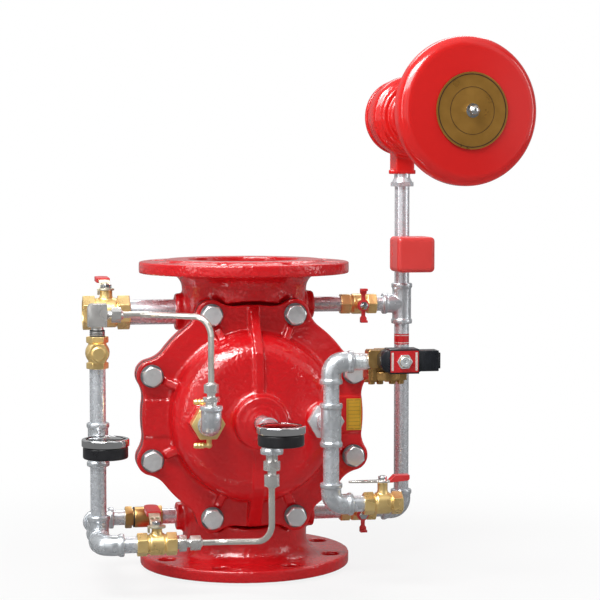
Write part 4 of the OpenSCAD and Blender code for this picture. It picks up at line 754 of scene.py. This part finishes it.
def circlePoints(radius, steps):
    angles = [2 * math.pi * i / steps for i in range(steps)]
    return [(radius * math.cos(a), radius * math.sin(a)) for a in angles]


# a profile of (radius, height) turned round an axis; a point on the axis closes the form there
def latheMesh(bm, profile, place, axis="Z", steps=64, closed=False):
    turn = Matrix.Translation(place) @ (axisTurns[axis] if isinstance(axis, str) else axis)
    rings = []
    for radius, height in profile:
        spots = circlePoints(radius, steps) if radius > 0 else [(0, 0)]
        rings.append([bm.verts.new(turn @ Vector((x, y, height))) for x, y in spots])
    pairs = list(zip(rings, rings[1:]))
    if closed:
        pairs.append((rings[-1], rings[0]))
    for low, high in pairs:
        for i in range(steps):
            j = (i + 1) % steps
            if len(low) == 1:
                bm.faces.new((low[0], high[j], high[i]))
            elif len(high) == 1:
                bm.faces.new((low[i], low[j], high[0]))
            else:
                bm.faces.new((low[i], low[j], high[j], high[i]))


def finishMesh(bm, name, smoothAngle=0.6):
    bmesh.ops.recalc_face_normals(bm, faces=bm.faces)
    mesh = bpy.data.meshes.new(name)
    bm.to_mesh(mesh)
    bm.free()
    mesh.shade_smooth()
    mesh.set_sharp_from_angle(angle=smoothAngle)
    return mesh


gauges = {
    "places": ((-0.2021, -0.1998, 0.1925), (0.0, -0.3080, 0.2185)),
    "turns": (48.6, 45.0), "steps": 96,
}
dialProfile = ((0, 0), (0.0247, 0), (0.0247, 0.0003), (0.0244, 0.0005), (0, 0.0005))


def makeDials():
    bm = bmesh.new()
    for place in gauges["places"]:
        latheMesh(bm, dialProfile, place, steps=gauges["steps"])
    addPiece("gaugeDials", finishMesh(bm, "gaugeDials"), "paleDial")


# heights over the lens's seat; the rim's points are (radius, height)
lensForm = {
    "seat": 0.0086, "domeRadius": 0.0246, "domeStart": 0.0024, "domeRise": 0.0026, "domeSteps": 10,
    "rim": [(0.0247, 0.0014), (0.0268, 0.0013), (0.0268, 0), (0.0225, 0), (0, 0.0036)],
}


# slightly domed windows, seated in the bezels' grooves
def makeLenses():
    profile = [(0, lensForm["domeStart"] + lensForm["domeRise"])]
    for i in range(1, lensForm["domeSteps"]):
        share = i / lensForm["domeSteps"]
        rise = lensForm["domeRise"] * math.sqrt(1 - share * share)
        profile.append((lensForm["domeRadius"] * share, lensForm["domeStart"] + rise))
    profile = [(radius, lensForm["seat"] + height) for radius, height in profile + lensForm["rim"]]
    bm = bmesh.new()
    for place in gauges["places"]:
        latheMesh(bm, profile, place, steps=gauges["steps"])
    lens = addPiece("gaugeWindows", finishMesh(bm, "gaugeWindows"), "clearLens")
    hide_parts("gauge_lenses")


marks = {
    "sweep": -270.0, "thick": 0.0002, "lift": 0.0006,
    "rows": (
        {"count": 31, "length": 0.0018, "width": 0.00025, "radius": 0.0222},
        {"count": 7, "length": 0.0034, "width": 0.0006, "radius": 0.0214},
    ),
}


# marks along an arc of a dial, as instances of one bar
def buildMarksTree():
    tree = bpy.data.node_groups.new("dialMarks", "GeometryNodeTree")
    sockets = {
        "Count": "NodeSocketInt", "Radius": number, "Start": number, "Sweep": number,
        "Mark Size": vector, "Center": vector,
    }
    for label, kind in sockets.items():
        tree.interface.new_socket(name=label, in_out="INPUT", socket_type=kind)
    tree.interface.new_socket(name="Geometry", in_out="OUTPUT", socket_type="NodeSocketGeometry")
    start, end = addNode(tree, "NodeGroupInput"), addNode(tree, "NodeGroupOutput")
    index = addNode(tree, "GeometryNodeInputIndex")
    last = addMath(tree, "SUBTRACT", start.outputs["Count"], 1.0)
    share = addMath(tree, "DIVIDE", index.outputs[0], last)
    swept = addMath(tree, "MULTIPLY", share, start.outputs["Sweep"])
    angle = addMath(tree, "ADD", start.outputs["Start"], swept)
    place = addNode(tree, "ShaderNodeCombineXYZ")
    for socket, operation in zip(place.inputs, ("COSINE", "SINE")):
        along = addMath(tree, operation, angle, 0.0)
        addLink(tree, addMath(tree, "MULTIPLY", along, start.outputs["Radius"]), socket)
    shifted = addNode(tree, "ShaderNodeVectorMath", operation="ADD")
    addLink(tree, place.outputs[0], shifted.inputs[0])
    addLink(tree, start.outputs["Center"], shifted.inputs[1])
    points = addNode(tree, "GeometryNodePoints")
    addLink(tree, start.outputs["Count"], points.inputs["Count"])
    addLink(tree, shifted.outputs[0], points.inputs["Position"])
    bar = addNode(tree, "GeometryNodeMeshCube")
    addLink(tree, start.outputs["Mark Size"], bar.inputs["Size"])
    turn = addNode(tree, "ShaderNodeCombineXYZ")
    addLink(tree, angle, turn.inputs[2])
    rotation = addNode(tree, "FunctionNodeEulerToRotation")
    addLink(tree, turn.outputs[0], rotation.inputs[0])
    spread = addNode(tree, "GeometryNodeInstanceOnPoints")
    addLink(tree, points.outputs[0], spread.inputs["Points"])
    addLink(tree, bar.outputs[0], spread.inputs["Instance"])
    addLink(tree, rotation.outputs[0], spread.inputs["Rotation"])
    real = addNode(tree, "GeometryNodeRealizeInstances")
    addLink(tree, spread.outputs[0], real.inputs[0])
    paint = addNode(tree, "GeometryNodeSetMaterial")
    paint.inputs["Material"].default_value = materials["blackCase"]
    addLink(tree, real.outputs[0], paint.inputs["Geometry"])
    addLink(tree, paint.outputs[0], end.inputs[0])
    return tree


def makeMarks():
    tree = buildMarksTree()
    keys = {item.name: item.identifier for item in tree.interface.items_tree if item.in_out == "INPUT"}
    whole = bmesh.new()
    for place, turn in zip(gauges["places"], gauges["turns"]):
        for row in marks["rows"]:
            obj = linkObject("marks", bpy.data.meshes.new("marks"))
            spread = obj.modifiers.new("marks", "NODES")
            spread.node_group = tree
            values = {
                "Count": row["count"], "Radius": row["radius"],
                "Start": math.radians(turn), "Sweep": math.radians(marks["sweep"]),
                "Mark Size": (row["length"], row["width"], marks["thick"]),
                "Center": (place[0], place[1], place[2] + marks["lift"]),
            }
            for label, value in values.items():
                spread[keys[label]] = value
            whole.from_mesh(applyModifiers(obj))
            bpy.data.objects.remove(obj)
    addPiece("dialMarks", finishMesh(whole, "dialMarks"), "blackCase")


cornerSteps = 4


# a flat plate that faces the front, with rounded corners
def roundedPlate(bm, left, right, low, high, back, front, corner):
    outline = []
    for x, z, start in ((right - corner, high - corner, 0), (left + corner, high - corner, 90),
                        (left + corner, low + corner, 180), (right - corner, low + corner, 270)):
        for i in range(cornerSteps + 1):
            a = math.radians(start + 90 / cornerSteps * i)
            outline.append((x + corner * math.cos(a), z + corner * math.sin(a)))
    under, over = [[bm.verts.new((x, y, z)) for x, z in outline] for y in (back, front)]
    bm.faces.new(under)
    bm.faces.new(over[::-1])
    for i in range(len(outline)):
        bm.faces.new((under[i - 1], over[i - 1], over[i], under[i]))


coilLabel = {
    "left": 0.1520, "right": 0.1880, "low": 0.2835, "high": 0.3105, "back": -0.2287, "front": -0.2296,
    "corner": 0.0012,
}
labelStrips = {
    "inset": 0.0012, "width": 0.0028, "margin": 0.0020, "back": -0.2295, "front": -0.2297, "corner": 0.0004,
}
coreEnd = {
    "place": (0.170, -0.2338, 0.297), "steps": 48,
    "profile": ((0, 0), (0.0066, 0), (0.0066, 0.0010), (0.0058, 0.0016),
                (0.0026, 0.0016), (0.0020, 0.0006), (0, 0.0004)),
}
plugRibs = {
    "count": 3, "left": 0.1965, "pitch": 0.007, "width": 0.0024, "low": 0.2862, "high": 0.3078,
    "back": -0.2255, "front": -0.2265, "corner": 0.0004,
}


def makeCoilLabel():
    bm = bmesh.new()
    roundedPlate(bm, **coilLabel)
    addPiece("coilPlate", finishMesh(bm, "coilPlate"), "labelRed")
    bm = bmesh.new()
    leftStrip = coilLabel["left"] + labelStrips["inset"]
    rightStrip = coilLabel["right"] - labelStrips["inset"] - labelStrips["width"]
    low, high = coilLabel["low"] + labelStrips["margin"], coilLabel["high"] - labelStrips["margin"]
    for left in (leftStrip, rightStrip):
        roundedPlate(bm, left, left + labelStrips["width"], low, high,
                     labelStrips["back"], labelStrips["front"], labelStrips["corner"])
    addPiece("coilPlateStrips", finishMesh(bm, "coilPlateStrips"), "labelPale")


# the core's end shows in the coil's nut, with a centre mark
def makeCoreEnd():
    bm = bmesh.new()
    latheMesh(bm, coreEnd["profile"], coreEnd["place"], "-Y", coreEnd["steps"])
    addPiece("coilCoreEnd", finishMesh(bm, "coilCoreEnd"), "boltZinc")


def makePlugRibs():
    bm = bmesh.new()
    for i in range(plugRibs["count"]):
        left = plugRibs["left"] + plugRibs["pitch"] * i
        roundedPlate(bm, left, left + plugRibs["width"], plugRibs["low"], plugRibs["high"],
                     plugRibs["back"], plugRibs["front"], plugRibs["corner"])
    addPiece("plugRibs", finishMesh(bm, "plugRibs"), "blackMoulding")


band = {
    "place": (0.220, 0.0, 0.2985), "inner": 0.01015, "outer": 0.01035, "height": 0.0145,
    "stripes": (0.0018, 0.0118), "stripeHeight": 0.0011, "stripeProud": 0.0001,
}


def bandProfile(low, high, inner, outer):
    return [(inner, low), (outer, low), (outer, high), (inner, high)]


def makeBand():
    bm = bmesh.new()
    profile = bandProfile(0, band["height"], band["inner"], band["outer"])
    latheMesh(bm, profile, band["place"], closed=True)
    addPiece("riserBand", finishMesh(bm, "riserBand"), "labelRed")
    bm = bmesh.new()
    for low in band["stripes"]:
        outer = band["outer"] + band["stripeProud"]
        profile = bandProfile(low, low + band["stripeHeight"], band["inner"], outer)
        latheMesh(bm, profile, band["place"], closed=True)
    addPiece("riserBandStripes", finishMesh(bm, "riserBandStripes"), "labelPale")


# pipe thread that stays in sight beside a fitting, and the thread seal under the square elbow
bareThread = {
    "place": (0.1135, -0.190, 0.294), "axis": "X",
    "length": 0.0155, "radius": 0.0102, "pitch": 0.0018, "depth": 0.0008,
}
elbowSeal = {
    "place": (-0.207, -0.130, 0.3258), "axis": "Z",
    "length": 0.0086, "radius": 0.0090, "pitch": 0.0021, "depth": 0.0011,
}
threadForm = {"wall": 0.0006, "root": 0.0001, "flank": 0.4, "steps": 48, "smoothAngle": 0.5}


# each turn is a ridge of its own; the flank is half the ridge's width as a share of the pitch
def addThread(bm, thread):
    radius, length, pitch = thread["radius"], thread["length"], thread["pitch"]
    root, inside = radius + threadForm["root"], radius - threadForm["wall"]
    profile = [(inside, 0.0), (root, 0.0)]
    for i in range(int(length / pitch)):
        middle = i + 0.5
        profile.append((root, pitch * (middle - threadForm["flank"])))
        profile.append((radius + thread["depth"], pitch * middle))
        profile.append((root, pitch * (middle + threadForm["flank"])))
    profile += [(root, length), (inside, length)]
    latheMesh(bm, profile, thread["place"], thread["axis"], threadForm["steps"], closed=True)


def makeThread():
    bm = bmesh.new()
    addThread(bm, bareThread)
    addPiece("pipeThreads", finishMesh(bm, "pipeThreads", threadForm["smoothAngle"]), "boltZinc")


# rings in the in-line check's two grooves
grooveRings = {
    "places": ((-0.1517, 0, 0.0685), (-0.1307, 0, 0.0685)), "axis": "X",
    "radius": 0.0130, "wire": 0.0009, "wireSteps": 14, "steps": 56,
}


def makeSeals():
    bm = bmesh.new()
    addThread(bm, elbowSeal)
    wire = circlePoints(grooveRings["wire"], grooveRings["wireSteps"])
    profile = [(grooveRings["radius"] + x, y) for x, y in wire]
    for place in grooveRings["places"]:
        latheMesh(bm, profile, place, grooveRings["axis"], grooveRings["steps"], closed=True)
    addPiece("sealRings", finishMesh(bm, "sealRings"), "blackRubber")


plateRings = {"depth": 0.2282, "thick": 0.00035, "steps": 96, "rings": ((0.0462, 0.0011), (0.0300, 0.0005))}


# two plain rings on the gong's plate, each with its (radius, width)
def makePlateRings():
    place = Matrix.Translation((gongAxis["x"], 0, gongAxis["z"]))
    turn = Matrix.Rotation(math.radians(gongAxis["turn"]), 4, "Z") @ axisTurns["-Y"]
    matrix = place @ turn @ Matrix.Translation((0, 0, plateRings["depth"]))
    bm = bmesh.new()
    for radius, width in plateRings["rings"]:
        profile = bandProfile(0, plateRings["thick"], radius - width, radius)
        latheMesh(bm, profile, (0, 0, 0), matrix, plateRings["steps"], closed=True)
    addPiece("plateRings", finishMesh(bm, "plateRings"), "plateInk")


plateForm = {
    "margin": 0.0016, "line": 0.0004, "sunk": 0.0002, "proud": 0.00012, "overlap": 0.00002,
    "corner": 0.0001, "rowCorner": 0.0004 / 6,
    "rows": 6, "rowMargin": 0.0045, "rowInset": 0.0004, "rowLine": 0.00028,
}


# the blank nameplate's printed frame and its empty rows
def makePlateForm():
    corners = [v.co for v in frame["nodes"]["nameplate"].data.vertices]
    margin, line, inset = plateForm["margin"], plateForm["line"], plateForm["rowInset"]
    left, right = min(v.x for v in corners) + margin, max(v.x for v in corners) - margin
    low, high = min(v.z for v in corners) + margin, max(v.z for v in corners) - margin
    # the rivets stand proud of the plate, so the plate's own face is found from its corners
    face = min(v.y for v in corners if v.x > right + margin / 2)
    back, front = face + plateForm["sunk"], face - plateForm["proud"]
    bm = bmesh.new()
    for x in (left, right - line):
        roundedPlate(bm, x, x + line, low, high, back, front, plateForm["corner"])
    # the level lines stand a little lower than the upright ones, so that no two faces coincide
    front += plateForm["overlap"]
    for z in (low, high - line):
        roundedPlate(bm, left, right, z, z + line, back, front, plateForm["corner"])
    step = (high - low - 2 * plateForm["rowMargin"]) / plateForm["rows"]
    for i in range(plateForm["rows"] + 1):
        z = low + plateForm["rowMargin"] + step * i
        roundedPlate(bm, left + inset, right - inset, z, z + plateForm["rowLine"], back, front,
                     plateForm["rowCorner"])
    addPiece("nameplateLines", finishMesh(bm, "nameplateLines"), "plateInk")


releaseHandle = {"voxel": 0.0005, "rounds": 3, "sleeveEnd": 0.1592}


# the release handle's left arm is bare steel, its right arm is sleeved
def makeReleaseHandle():
    obj = linkObject("releaseHandleSleeved", mergedMesh("release_handle"))
    mesh = softenMesh(obj, releaseHandle["voxel"], releaseHandle["rounds"])
    mesh.shade_smooth()
    mesh.materials.clear()
    mesh.materials.append(materials["redVinyl"])
    mesh.materials.append(materials["tubeSteel"])
    for face in mesh.polygons:
        face.material_index = 1 if face.center.x < releaseHandle["sleeveEnd"] else 0
    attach(obj, bodyOf["release_handle"])
    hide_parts("release_handle")


# each spring is seated on the moving piece at one end and on the casting at the other; here each spring
# only gets a smooth-shaded copy in its node's place, and the listed moving piece is not used
springs = {
    "closing_spring": {"moving": "main_disc", "axis": 1},
    "inline_check_spring": {"moving": "check_poppet", "axis": 0},
    "solenoid_spring": {"moving": "solenoid_core", "axis": 1},
}
springSharpAngle = 50


def makeSprings():
    for name, spring in springs.items():
        low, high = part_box(name)
        obj = linkObject(name + "Coil", mergedMesh(name))
        obj.data.shade_smooth()
        obj.data.set_sharp_from_angle(angle=math.radians(springSharpAngle))
        dress(obj, finishOf[name])
        middle = (low + high) / 2
        start, end = middle.copy(), middle.copy()
        start[spring["axis"]] = high[spring["axis"]]
        end[spring["axis"]] = low[spring["axis"]]
        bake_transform(obj)
        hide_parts(name)


for build in (makeDials, makeLenses, makeMarks, makeCoilLabel, makeCoreEnd, makePlugRibs, makeBand,
              makeThread, makeSeals, makePlateRings, makePlateForm, makeReleaseHandle, makeSprings):
    build()
print("details ready")
